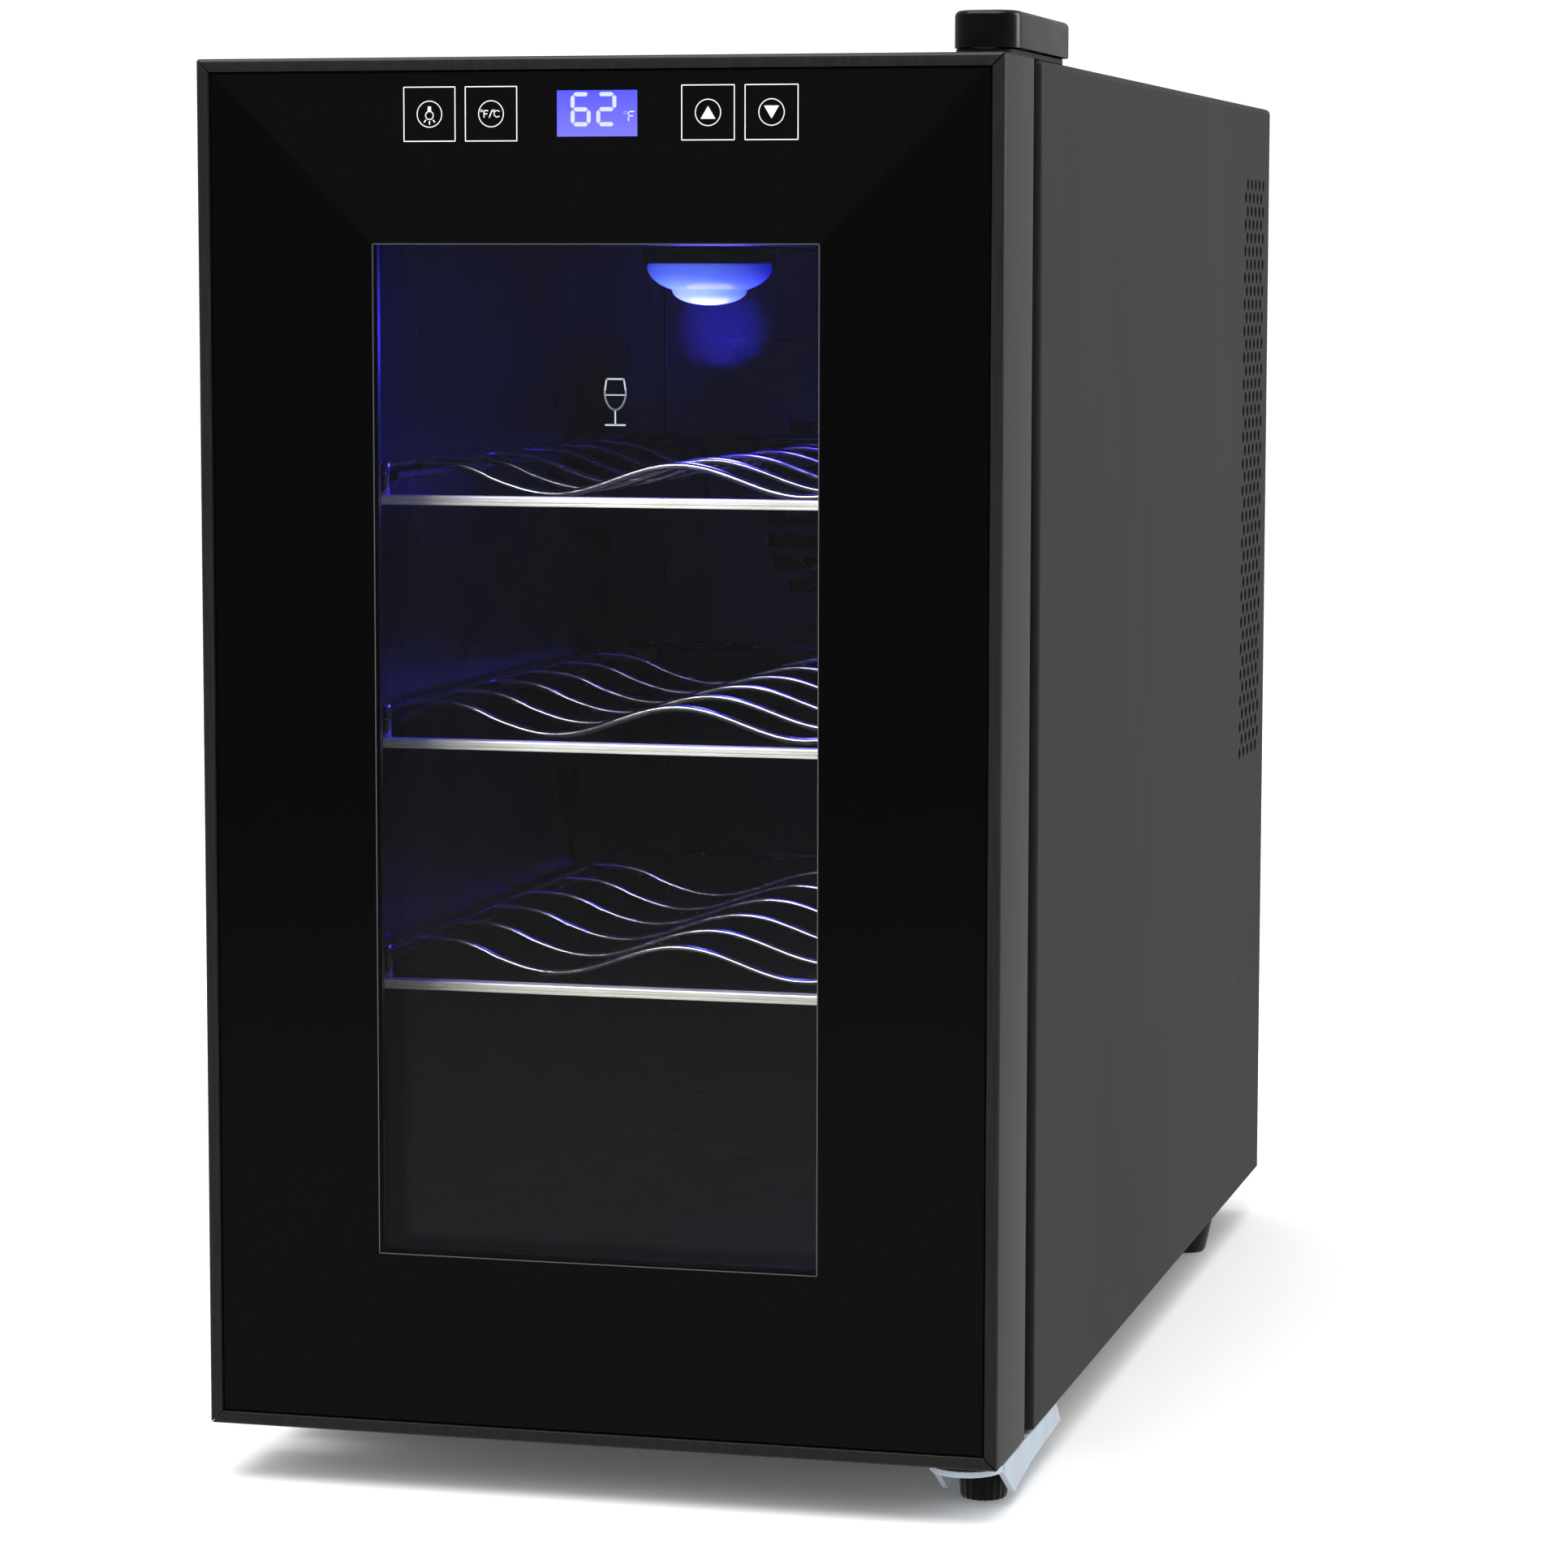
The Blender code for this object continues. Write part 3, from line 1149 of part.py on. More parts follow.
def lower_hinge():
    """Channel under the door and the cabinet that carries the lower pin and a levelling foot."""
    half = BRACKET_WIDTH / 2
    under = PLATE_TOP - BRACKET_SHEET
    back = FRONT + BRACKET_PLATE_BACK
    outline = [(HINGE_X + half, back), (HINGE_X - half, back)]
    for step in range(11):
        turn = math.pi + math.pi * step / 10
        outline.append((HINGE_X + half * math.cos(turn), FRONT + BRACKET_NOSE + half * math.sin(turn)))
    body = piece("lower_hinge_bracket", prism(outline, "Z", under, PLATE_TOP), zinc_steel())
    for side in (-1, 1):
        edges = sorted((HINGE_X + side * half, HINGE_X + side * (half - BRACKET_SHEET)))
        join(body, prism(flange_outline(), "X", *edges))
    holes = [rod((x, y), SCREW_RADIUS + GAP, under - SHEET, PLATE_TOP + SHEET, sides=8)
             for x, y in lower_screw_places()]
    holes.append(rod((HINGE_X, HINGE_Y), PIN_RADIUS + GAP, under - SHEET, PLATE_TOP + SHEET, sides=12))
    hole = PIN_RADIUS + GAP
    holes.append(rod(levelling_foot_right_place(), hole, under - SHEET, PLATE_TOP + SHEET, sides=12))
    cut(body, merged(*holes))
    top = LOW + BUSH_LENGTH
    pin = [(0, top), (PIN_RADIUS, top - PIN_CHAMFER), (PIN_RADIUS, under), (0, under)]
    piece("lower_hinge_pin", turned(pin, (HINGE_X, HINGE_Y, 0), sides=12), zinc_steel(), smooth=True)
    for name, (x, y) in zip(("lower_hinge_screw_front", "lower_hinge_screw_rear"), lower_screw_places()):
        profile = pan_head(under - GAP, -HINGE_SCREW_HEAD, HINGE_SCREW_LENGTH)
        piece(name, turned(profile, (x, y, 0), sides=10), zinc_steel(), smooth=True)


# ---- Feet ----
def levelling_foot_left_place():
    return (-HALF + REAR_FOOT_INSET, FRONT + LEVELLING_FOOT_LEFT_BACK)


def levelling_foot_right_place():
    return (HINGE_X, FRONT + LEVELLING_FOOT_RIGHT_BACK)


def levelling_foot(name, place, under, stem_top):
    """A ribbed foot on a threaded stem, turned by hand to level the cooler."""
    axis = pivot(name + "_axis", (*place, 0))
    shape = bmesh.new()
    rows = []
    for height, radius in ((0, 0.84), (0.0012, 0.9), (under - 0.001, 1.0), (under, 0.94)):
        row = []
        for step in range(2 * FOOT_RIBS):
            turn = math.pi * step / FOOT_RIBS
            reach = FOOT_RADIUS * radius - (FOOT_RIB_DEPTH if step % 2 else 0)
            x, y = place[0] + reach * math.cos(turn), place[1] + reach * math.sin(turn)
            row.append(shape.verts.new((x, y, height)))
        rows.append(row)
    for lower, upper in zip(rows, rows[1:]):
        for here in range(2 * FOOT_RIBS):
            there = (here + 1) % (2 * FOOT_RIBS)
            shape.faces.new([lower[here], lower[there], upper[there], upper[here]])
    shape.faces.new(rows[0])
    shape.faces.new(list(reversed(rows[-1])))
    body = piece(name, shape, black_plastic(), axis)
    join(body, rod(place, PIN_RADIUS, under - 0.002, stem_top))


def feet():
    left, right = levelling_foot_left_place(), levelling_foot_right_place()
    levelling_foot("levelling_foot_left", left, BASE_LOW - SHEET, LOW + FOOT_STEM)
    levelling_foot("levelling_foot_right", right, PLATE_TOP - BRACKET_SHEET - GAP, PLATE_TOP)
    for name, side in (("rear_foot_left", -1), ("rear_foot_right", 1)):
        centre = (side * (HALF - REAR_FOOT_INSET), FRONT + REAR_FOOT_BACK, 0)
        top = BASE_LOW - GAP
        profile = [(0, top), (REAR_FOOT_RADIUS, top), (REAR_FOOT_RADIUS, top - 3 * SHEET),
                   (REAR_FOOT_RADIUS * 0.72, SHEET), (REAR_FOOT_RADIUS * 0.64, 0), (0, 0)]
        piece(name, turned(profile, centre, sides=20), black_plastic(), smooth=True)


def clear_scene():
    for item in list(bpy.data.objects):
        bpy.data.objects.remove(item, do_unlink=True)


def build():
    clear_scene()
    cabinet_wrapper()
    base_plate()
    inner_liner()
    insulation_foam()
    rear_bulkhead()
    rear_cover()
    rear_cover_screws()
    cooling_unit()
    temperature_sensor()
    power_supply()
    power_inlet()
    lamp()
    shelves()
    door()
    upper_hinge()
    lower_hinge()
    feet()


build()
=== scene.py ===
"""Looks of the countertop wine cooler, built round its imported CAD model.

Metres, +Z up, the door facing -Y. The CAD nodes keep their places. Some are given finer pieces of the same
size: the folded cabinet sheet with its round vent holes, the welded shelves, the printed door glass, the
hinge cover and the lamp.
"""
import json
import math

import bmesh
import bpy
from mathutils import Matrix, Vector

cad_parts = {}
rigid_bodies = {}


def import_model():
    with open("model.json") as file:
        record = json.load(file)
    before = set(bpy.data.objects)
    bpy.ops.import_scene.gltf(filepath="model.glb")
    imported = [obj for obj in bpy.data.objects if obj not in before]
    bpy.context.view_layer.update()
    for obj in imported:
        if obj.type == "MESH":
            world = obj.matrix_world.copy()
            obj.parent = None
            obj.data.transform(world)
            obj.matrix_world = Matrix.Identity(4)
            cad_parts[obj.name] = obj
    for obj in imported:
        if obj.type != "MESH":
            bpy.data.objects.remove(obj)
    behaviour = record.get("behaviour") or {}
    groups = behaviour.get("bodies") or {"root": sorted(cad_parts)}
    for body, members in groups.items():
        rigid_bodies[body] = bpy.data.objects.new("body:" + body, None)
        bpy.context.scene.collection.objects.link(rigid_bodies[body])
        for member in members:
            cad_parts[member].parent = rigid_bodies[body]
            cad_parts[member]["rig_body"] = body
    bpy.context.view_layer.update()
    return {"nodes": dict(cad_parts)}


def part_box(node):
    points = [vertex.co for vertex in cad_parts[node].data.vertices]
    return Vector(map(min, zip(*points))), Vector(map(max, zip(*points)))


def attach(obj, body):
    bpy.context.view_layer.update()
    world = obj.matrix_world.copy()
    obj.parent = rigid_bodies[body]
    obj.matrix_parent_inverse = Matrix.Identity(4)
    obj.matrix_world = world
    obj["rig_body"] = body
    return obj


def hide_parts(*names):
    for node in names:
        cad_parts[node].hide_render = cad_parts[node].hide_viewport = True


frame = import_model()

SCENE = bpy.context.scene
MM = 0.001


# ---- Camera, light and floor ----
def camera():
    """A long lens a little to the right of the door and slightly above the middle."""
    lens = bpy.data.cameras.new("camera")
    lens.lens = 110.9
    lens.sensor_width = 36.0
    lens.clip_end = 50.0
    seen = bpy.data.objects.new("camera", lens)
    turn, tip, roll = math.radians(14.19), math.radians(-6.06), math.radians(0.1)
    seen.matrix_world = (
        Matrix.Translation((0.413, -1.658, 0.378))
        @ Matrix.Rotation(turn, 4, "Z")
        @ Matrix.Rotation(math.pi / 2 + tip, 4, "X")
        @ Matrix.Rotation(roll, 4, "Z")
    )
    SCENE.collection.objects.link(seen)
    SCENE.camera = seen


def softbox(name, place, target, size, power, only=None, beside=None):
    """A soft white light that reaches just the pieces in only, or all but those in beside."""
    lamp = bpy.data.lights.new(name, "AREA")
    lamp.shape = "RECTANGLE"
    lamp.size, lamp.size_y = size
    lamp.energy = power
    box = bpy.data.objects.new(name, lamp)
    box.location = place
    box.rotation_euler = (Vector(target) - Vector(place)).to_track_quat("-Z", "Y").to_euler()
    SCENE.collection.objects.link(box)
    flagged = only or beside
    if flagged:
        reached = bpy.data.collections.new(name + "_reach")
        for shown in flagged:
            reached.objects.link(shown)
        for entry in reached.collection_objects:
            entry.light_linking.link_state = "INCLUDE" if only else "EXCLUDE"
        box.light_linking.receiver_collection = reached
    return box


def studio(ground):
    """A white room. Polished surfaces see it dark in front and lighter behind, with a paler band low down."""
    SCENE.view_settings.view_transform = "Standard"
    world = bpy.data.worlds.new("studio")
    world.use_nodes = True
    SCENE.world = world
    tree = world.node_tree
    tree.nodes.clear()
    way = add(tree, "ShaderNodeTexCoord")
    parts = add(tree, "ShaderNodeSeparateXYZ", {"Vector": way.outputs["Generated"]})
    flagged = add(
        tree,
        "ShaderNodeMapRange",
        {"Value": parts.outputs["Y"], "From Min": -0.6, "From Max": 0.9, "To Min": 0.02, "To Max": 0.38},
    )
    low_band = add(
        tree,
        "ShaderNodeMapRange",
        {"Value": parts.outputs["Z"], "From Min": -0.10, "From Max": -0.19, "To Min": 0.0, "To Max": 0.07},
        interpolation_type="SMOOTHSTEP",
    )
    seen = add(tree, "ShaderNodeMath", operation="ADD")
    tree.links.new(flagged.outputs["Result"], seen.inputs[0])
    tree.links.new(low_band.outputs["Result"], seen.inputs[1])
    ray = add(tree, "ShaderNodeLightPath")
    level = add(
        tree,
        "ShaderNodeMix",
        {"Factor": ray.outputs["Is Glossy Ray"], "A": 1.15, "B": seen.outputs["Value"]},
        data_type="FLOAT",
    )
    room = add(tree, "ShaderNodeBackground", {"Color": linear("FFFFFF"), "Strength": level.outputs["Result"]})
    add(tree, "ShaderNodeOutputWorld", {"Surface": room.outputs["Background"]})
    softbox("overhead_softbox", (-0.2, -0.7, 2.2), (0, -0.1, 0.2), (2.2, 1.8), 36)
    softbox("side_softbox", (1.9, 0.9, 1.1), (0.1, 0, 0.2), (0.8, 1.4), 18, beside=[ground])
    fill = softbox("floor_fill", (0, -0.4, 2.6), (0, 0, 0), (3, 3), 22, only=[ground])
    fill.data.use_shadow = False


def floor():
    """A seamless pale sheet."""
    shape = bmesh.new()
    bmesh.ops.create_grid(shape, x_segments=8, y_segments=8, size=12)
    sheet = placed("floor", shape, [matt_paper()])
    sheet.visible_glossy = False
    return sheet


# ---- Nodes and finishes ----
def linear(code, alpha=1.0):
    """An sRGB hex code as linear light."""
    channels = [int(code[start:start + 2], 16) / 255 for start in (0, 2, 4)]
    return [c / 12.92 if c <= 0.04045 else ((c + 0.055) / 1.055) ** 2.4 for c in channels] + [alpha]


def add(tree, kind, inputs=None, **settings):
    """Adds a node with its settings, and a value or a link for each input that is given."""
    made = tree.nodes.new(kind)
    for name, value in settings.items():
        setattr(made, name, value)
    for name, value in (inputs or {}).items():
        sockets = [s for s in made.inputs if s.name == name and s.enabled]
        if isinstance(value, bpy.types.NodeSocket):
            tree.links.new(value, sockets[0])
        else:
            sockets[0].default_value = value
    return made


def finish(name, base, roughness, **sockets):
    """A material with one Principled shader and what is the same all over it."""
    made = bpy.data.materials.new(name)
    made.use_nodes = True
    tree = made.node_tree
    tree.nodes.clear()
    values = {"Base Color": linear(base), "Roughness": roughness}
    values.update({key.replace("_", " "): value for key, value in sockets.items()})
    shader = add(tree, "ShaderNodeBsdfPrincipled", values)
    add(tree, "ShaderNodeOutputMaterial", {"Surface": shader.outputs["BSDF"]})
    return made, tree, shader


def pattern(tree, size, detail=2.0, stretch=(1, 1, 1), kind="ShaderNodeTexNoise", **settings):
    """A pattern of patches about size metres across, longer where stretch is over 1."""
    place = add(tree, "ShaderNodeTexCoord")
    scale = [1 / (size * way) for way in stretch]
    mapped = add(tree, "ShaderNodeMapping", {"Vector": place.outputs["Object"], "Scale": scale})
    inputs = {"Vector": mapped.outputs["Vector"], "Scale": 1.0}
    if kind == "ShaderNodeTexNoise":
        inputs["Detail"] = detail
    return add(tree, kind, inputs, **settings)


def tinted(tree, shader, source, low, high, start=0.35, end=0.65):
    """Runs the colour from low to high over a pattern."""
    ramp = add(tree, "ShaderNodeValToRGB", {"Fac": source})
    ramp.color_ramp.elements[0].position = start
    ramp.color_ramp.elements[1].position = end
    ramp.color_ramp.elements[0].color = linear(low)
    ramp.color_ramp.elements[1].color = linear(high)
    tree.links.new(ramp.outputs["Color"], shader.inputs["Base Color"])
    return ramp


def roughened(tree, shader, source, low, high):
    """Runs the roughness from low to high over a pattern."""
    spread = add(tree, "ShaderNodeMapRange", {
        "Value": source, "From Min": 0.3, "From Max": 0.7, "To Min": low, "To Max": high})
    tree.links.new(spread.outputs["Result"], shader.inputs["Roughness"])


def raised(tree, shader, source, height, strength=1.0):
    """Relief of about height metres."""
    relief = add(tree, "ShaderNodeBump", {"Height": source, "Distance": height, "Strength": strength})
    tree.links.new(relief.outputs["Normal"], shader.inputs["Normal"])


def matt_paper():
    """Background paper: white and matt with a faint cloudiness."""
    made, tree, shader = finish("background_paper", "FAFAFA", 0.9)
    cloud = pattern(tree, 0.6).outputs["Fac"]
    tinted(tree, shader, cloud, "F9F9F9", "FDFDFD")
    return made


def coil_coated_steel():
    """Pre-painted steel sheet, polyester roller-coated and satin: charcoal black, with an orange-peel skin.

    The peel's real wavelength is near 1 mm, which is drawn at 1.6 mm so that it shows.
    """
    made, tree, shader = finish("satin_black_coated_steel", "1E1E1E", 0.46, IOR=1.5, Specular_IOR_Level=0.26)
    film = pattern(tree, 0.09, 3.0, (1, 1, 2.2)).outputs["Fac"]
    tinted(tree, shader, film, "1B1B1B", "212120")
    roughened(tree, shader, film, 0.43, 0.5)
    peel = pattern(tree, 1.6 * MM, 1.0).outputs["Fac"]
    raised(tree, shader, peel, 0.02 * MM, 0.5)
    return made


def anodised_frame():
    """Extruded aluminium bars, anodised black: dark grey and silky, with fine lines along them."""
    made, tree, shader = finish("black_anodised_aluminium", "242424", 0.32, Metallic=0.2, IOR=1.5)
    lines = pattern(tree, 0.5 * MM, 2.0, (1, 1, 60)).outputs["Fac"]
    tinted(tree, shader, lines, "212121", "282827")
    roughened(tree, shader, lines, 0.28, 0.36)
    raised(tree, shader, lines, 0.004 * MM, 0.4)
    return made


def glossy_abs():
    """Injection-moulded ABS with a polished skin: jet black with clean reflections and faint flow marks."""
    made, tree, shader = finish("gloss_black_ABS", "0B0B0B", 0.24, IOR=1.54, Specular_IOR_Level=0.32)
    flow = pattern(tree, 14 * MM, 2.0, (1, 2, 1)).outputs["Fac"]
    tinted(tree, shader, flow, "0A0A0A", "101010")
    roughened(tree, shader, flow, 0.2, 0.3)
    raised(tree, shader, flow, 0.03 * MM, 0.3)
    return made


def satin_polypropylene():
    """Feet of moulded polypropylene: near black with a spark-eroded satin grain of about 0.4 mm."""
    made, tree, shader = finish("satin_black_polypropylene", "121212", 0.38, IOR=1.49)
    grain = pattern(tree, 0.4 * MM, 2.0).outputs["Fac"]
    tinted(tree, shader, grain, "0E0E0E", "161616")
    roughened(tree, shader, grain, 0.3, 0.45)
    raised(tree, shader, grain, 0.02 * MM, 0.6)
    return made


def formed_polystyrene():
    """Vacuum-formed polystyrene sheet: black, with soft gloss on the flats and a fine 1.2 mm stipple."""
    made, tree, shader = finish("black_formed_polystyrene", "191919", 0.3, IOR=1.57)
    stretch = pattern(tree, 60 * MM, 2.0).outputs["Fac"]
    tinted(tree, shader, stretch, "171717", "1D1D1D")
    roughened(tree, shader, stretch, 0.24, 0.36)
    stipple = pattern(tree, 1.2 * MM, 1.5).outputs["Fac"]
    raised(tree, shader, stipple, 0.03 * MM, 0.5)
    return made


def enamelled_glass():
    """Float glass with a ceramic print fused behind it: deep black and mirror smooth.

    Between the mitre lines above the window the print is painted a shade greyer, a painted reflection of the
    room in front. A few dust specks lie on the face.
    """
    made, tree, shader = finish("black_printed_glass", "070707", 0.04, IOR=1.52)
    place = add(tree, "ShaderNodeTexCoord")
    parts = add(tree, "ShaderNodeSeparateXYZ", {"Vector": place.outputs["Object"]})
    aside = add(tree, "ShaderNodeMath", {"Value": parts.outputs["X"]}, operation="ABSOLUTE")
    rise = add(tree, "ShaderNodeMath", operation="SUBTRACT")
    tree.links.new(parts.outputs["Z"], rise.inputs[0])
    tree.links.new(aside.outputs["Value"], rise.inputs[1])
    # Painted reflection: the print runs from 060606 to 0A0A0A in a wedge between the mitre lines above the
    # window.
    painted_reflection_wedge = add(tree, "ShaderNodeMapRange", {
        "Value": rise.outputs["Value"],
        "From Min": WINDOW_HIGH - WINDOW_HALF - 1 * MM,
        "From Max": WINDOW_HIGH - WINDOW_HALF + 2 * MM,
    })
    ramp = tinted(tree, shader, painted_reflection_wedge.outputs["Result"], "060606", "0A0A0A", 0.0, 1.0)
    specks = pattern(tree, 3.5 * MM, kind="ShaderNodeTexVoronoi", feature="F1").outputs["Distance"]
    dust = add(tree, "ShaderNodeMapRange", {
        "Value": specks, "From Min": 0.03, "From Max": 0.045, "To Min": 0.7, "To Max": 0.0})
    layers = {"Factor": dust.outputs["Result"], "A": ramp.outputs["Color"], "B": linear("1C1C1C")}
    mixed = add(tree, "ShaderNodeMix", layers, data_type="RGBA")
    tree.links.new(mixed.outputs["Result"], shader.inputs["Base Color"])
    smear = pattern(tree, 70 * MM, 3.0, (1, 1, 2)).outputs["Fac"]
    roughened(tree, shader, smear, 0.03, 0.06)
    return made


def window_glass(name, clearness, haze):
    """Float glass with a low-emissivity coat: clear, under a thin sheen and a faint grey haze."""
    made = bpy.data.materials.new(name)
    made.use_nodes = True
    tree = made.node_tree
    tree.nodes.clear()
    smear = pattern(tree, 50 * MM, 3.0, (1, 1, 2)).outputs["Fac"]
    rough = add(tree, "ShaderNodeMapRange", {"Value": smear, "To Min": 0.02, "To Max": 0.07})
    through = add(tree, "ShaderNodeBsdfTransparent", {"Color": linear(clearness)})
    sheen = add(tree, "ShaderNodeBsdfPrincipled", {
        "Base Color": linear("FFFFFF"), "Metallic": 1 - haze, "Roughness": rough.outputs["Result"]})
    facing = add(tree, "ShaderNodeFresnel", {"IOR": 1.5})
    pane = add(tree, "ShaderNodeMixShader", {"Fac": facing.outputs["Fac"]})
    tree.links.new(through.outputs["BSDF"], pane.inputs[1])
    tree.links.new(sheen.outputs["BSDF"], pane.inputs[2])
    add(tree, "ShaderNodeOutputMaterial", {"Surface": pane.outputs["Shader"]})
    return made


def ceramic_ink(name, shade, glow):
    """Screen-printed ink, fired on: flat and opaque, with the mesh's 0.3 mm grain in its edges and tone. It
    also glows at strength glow: the backlight through the lit digits, and painted glow on the printed signs,
    which are no lamp.
    """
    made, tree, shader = finish(name, shade, 0.5, Emission_Color=linear(shade), Emission_Strength=glow)
    mesh = pattern(tree, 0.3 * MM, 1.0).outputs["Fac"]
    roughened(tree, shader, mesh, 0.4, 0.6)
    raised(tree, shader, mesh, 0.004 * MM, 0.5)
    return made


def backlit_panel():
    """Backlit liquid-crystal panel: violet blue, and a little paler along its lower edge."""
    made, tree, shader = finish("backlit_display", "2A2A80", 0.2, Emission_Strength=1.0)
    place = add(tree, "ShaderNodeTexCoord")
    parts = add(tree, "ShaderNodeSeparateXYZ", {"Vector": place.outputs["Object"]})
    rise = add(tree, "ShaderNodeMapRange", {
        "Value": parts.outputs["Z"], "From Min": PANEL_LOW, "From Max": PANEL_LOW + 14 * MM,
        "To Min": 1.0, "To Max": 0.0})
    ramp = add(tree, "ShaderNodeValToRGB", {"Fac": rise.outputs["Result"]})
    ramp.color_ramp.elements[0].color = linear("4F4FF2")
    ramp.color_ramp.elements[1].color = linear("7C78FF")
    tree.links.new(ramp.outputs["Color"], shader.inputs["Emission Color"])
    return made


def passivated_zinc():
    """Zinc-plated pressed steel, passivated clear blue: pale and satin, clouding from blue to lilac."""
    made, tree, shader = finish("blue_passivated_zinc", "C8D4DC", 0.4, Metallic=0.35)
    cloud = pattern(tree, 14 * MM, 1.0).outputs["Fac"]
    tinted(tree, shader, cloud, "C2DCE3", "CBC7DB", 0.3, 0.7)
    crystal = pattern(tree, 1.1 * MM, 3.0).outputs["Fac"]
    roughened(tree, shader, crystal, 0.3, 0.45)
    raised(tree, shader, crystal, 0.006 * MM, 0.5)
    return made


def chromed_wire():
    """Drawn steel wire, bright nickel-chrome plated: warm silver with faint drawing lines along it."""
    made, tree, shader = finish("chromed_wire", "E6E0D6", 0.2, Metallic=1.0)
    drawn = pattern(tree, 1.0 * MM, 2.0, (12, 1, 1)).outputs["Fac"]
    tinted(tree, shader, drawn, "D9D2C6", "F1ECE4")
    roughened(tree, shader, drawn, 0.15, 0.28)
    return made


def brushed_strip():
    """Flat steel strip, chromed over a brushed face: a creamy white band with lines along its length."""
    made, tree, shader = finish("brushed_chrome_strip", "F3EEE4", 0.36, Metallic=0.2)
    brushed = pattern(tree, 0.6 * MM, 2.0, (40, 1, 1)).outputs["Fac"]
    tinted(tree, shader, brushed, "E9E2D4", "FBF7EF")
    roughened(tree, shader, brushed, 0.28, 0.42)
    return made


def lit_lens():
    """Frosted polycarbonate lit by a blue diode inside: white-blue over the diode, deep blue at the rim."""
    made, tree, shader = finish("frosted_lamp_lens", "A9C4FF", 0.3, IOR=1.58, Emission_Strength=1.0)
    place = add(tree, "ShaderNodeTexCoord")
    shift = add(tree, "ShaderNodeVectorMath", operation="SUBTRACT")
    tree.links.new(place.outputs["Object"], shift.inputs[0])
    shift.inputs[1].default_value = (LAMP[0] - 2 * MM, LAMP[1] - 6 * MM, LAMP_LOW)
    reach = add(tree, "ShaderNodeVectorMath", operation="LENGTH")
    tree.links.new(shift.outputs["Vector"], reach.inputs[0])
    away = add(tree, "ShaderNodeMapRange", {
        "Value": reach.outputs["Value"], "From Min": 3 * MM, "From Max": 24 * MM})
    ramp = add(tree, "ShaderNodeValToRGB", {"Fac": away.outputs["Result"]})
    stops = ramp.color_ramp.elements
    stops[0].color = linear("DDEDFF")
    stops[1].color = linear("1212C8")
    middle = stops.new(0.38)
    middle.color = linear("86ABFF")
    outer = stops.new(0.68)
    outer.color = linear("4058F2")
    tree.links.new(ramp.outputs["Color"], shader.inputs["Emission Color"])
    frost = pattern(tree, 0.8 * MM, 2.0).outputs["Fac"]
    raised(tree, shader, frost, 0.03 * MM, 0.4)
    return made


def white_abs():
    """Moulded ABS left its natural warm white, with a fine 0.5 mm grain."""
    made, tree, shader = finish("white_ABS", "DCDCD6", 0.42, IOR=1.54)
    grain = pattern(tree, 0.5 * MM, 2.0).outputs["Fac"]
    tinted(tree, shader, grain, "D6D6D0", "E0E0DA")
    raised(tree, shader, grain, 0.02 * MM, 0.4)
    return made


def soft_pvc():
    """Extruded soft PVC gasket: dull black with a slight bloom and drag lines along the run."""
    made, tree, shader = finish("black_soft_PVC", "0C0C0C", 0.7, IOR=1.52, Specular_IOR_Level=0.2)
    bloom = pattern(tree, 9 * MM, 3.0).outputs["Fac"]
    tinted(tree, shader, bloom, "0A0A0A", "101010")
    roughened(tree, shader, bloom, 0.64, 0.76)
    drag = pattern(tree, 0.5 * MM, 1.0, (1, 1, 20)).outputs["Fac"]
    raised(tree, shader, drag, 0.02 * MM, 0.5)
    return made


def galvanised_sheet():
    """Hot-dip galvanised sheet: grey with a spangle of 6 mm crystals, each catching the light its own way."""
    made, tree, shader = finish("galvanised_sheet", "A9ADAF", 0.42, Metallic=0.9)
    spangle = pattern(tree, 6 * MM, kind="ShaderNodeTexVoronoi", feature="F1")
    tone = add(tree, "ShaderNodeSeparateColor", {"Color": spangle.outputs["Color"]}).outputs["Red"]
    tinted(tree, shader, tone, "9A9EA1", "B9BDBF", 0.1, 0.9)
    roughened(tree, shader, tone, 0.34, 0.5)
    return made


def extruded_aluminium():
    """Mill-finish aluminium extrusion: pale grey, with die lines up the fins."""
    made, tree, shader = finish("mill_finish_aluminium", "BFC2C4", 0.35, Metallic=1.0)
    lines = pattern(tree, 0.6 * MM, 2.0, (1, 1, 50)).outputs["Fac"]
    tinted(tree, shader, lines, "B2B5B7", "CACDCF")
    roughened(tree, shader, lines, 0.28, 0.42)
    raised(tree, shader, lines, 0.006 * MM, 0.6)
    return made


def dark_spacer():
    """Roll-formed aluminium spacer, dark anodised, with pinholes every 3 mm for the drying agent."""
    made, tree, shader = finish("dark_anodised_spacer", "4A4A4A", 0.38, Metallic=0.6)
    pins = pattern(tree, 3 * MM, kind="ShaderNodeTexVoronoi", feature="F1").outputs["Distance"]
    tinted(tree, shader, pins, "262626", "4C4C4C", 0.08, 0.14)
    roughened(tree, shader, pins, 0.34, 0.4)
    return made


def expanded_foam():
    """Blown polyurethane foam: straw yellow, with open cells of about 1.5 mm."""
    made, tree, shader = finish("polyurethane_foam", "E3D7B0", 0.85)
    cells = pattern(tree, 1.5 * MM, kind="ShaderNodeTexVoronoi", feature="F1").outputs["Distance"]
    tinted(tree, shader, cells, "D6C896", "EADFBC", 0.1, 0.6)
    raised(tree, shader, cells, 0.3 * MM, 0.6)
    return made


def alumina():
    """Fired alumina plates: chalk white and matt, with a 0.6 mm kiln grain."""
    made, tree, shader = finish("fired_alumina", "ECEAE4", 0.6, IOR=1.6)
    grain = pattern(tree, 0.6 * MM, 2.0).outputs["Fac"]
    tinted(tree, shader, grain, "E4E1DA", "F2F0EA")
    return made


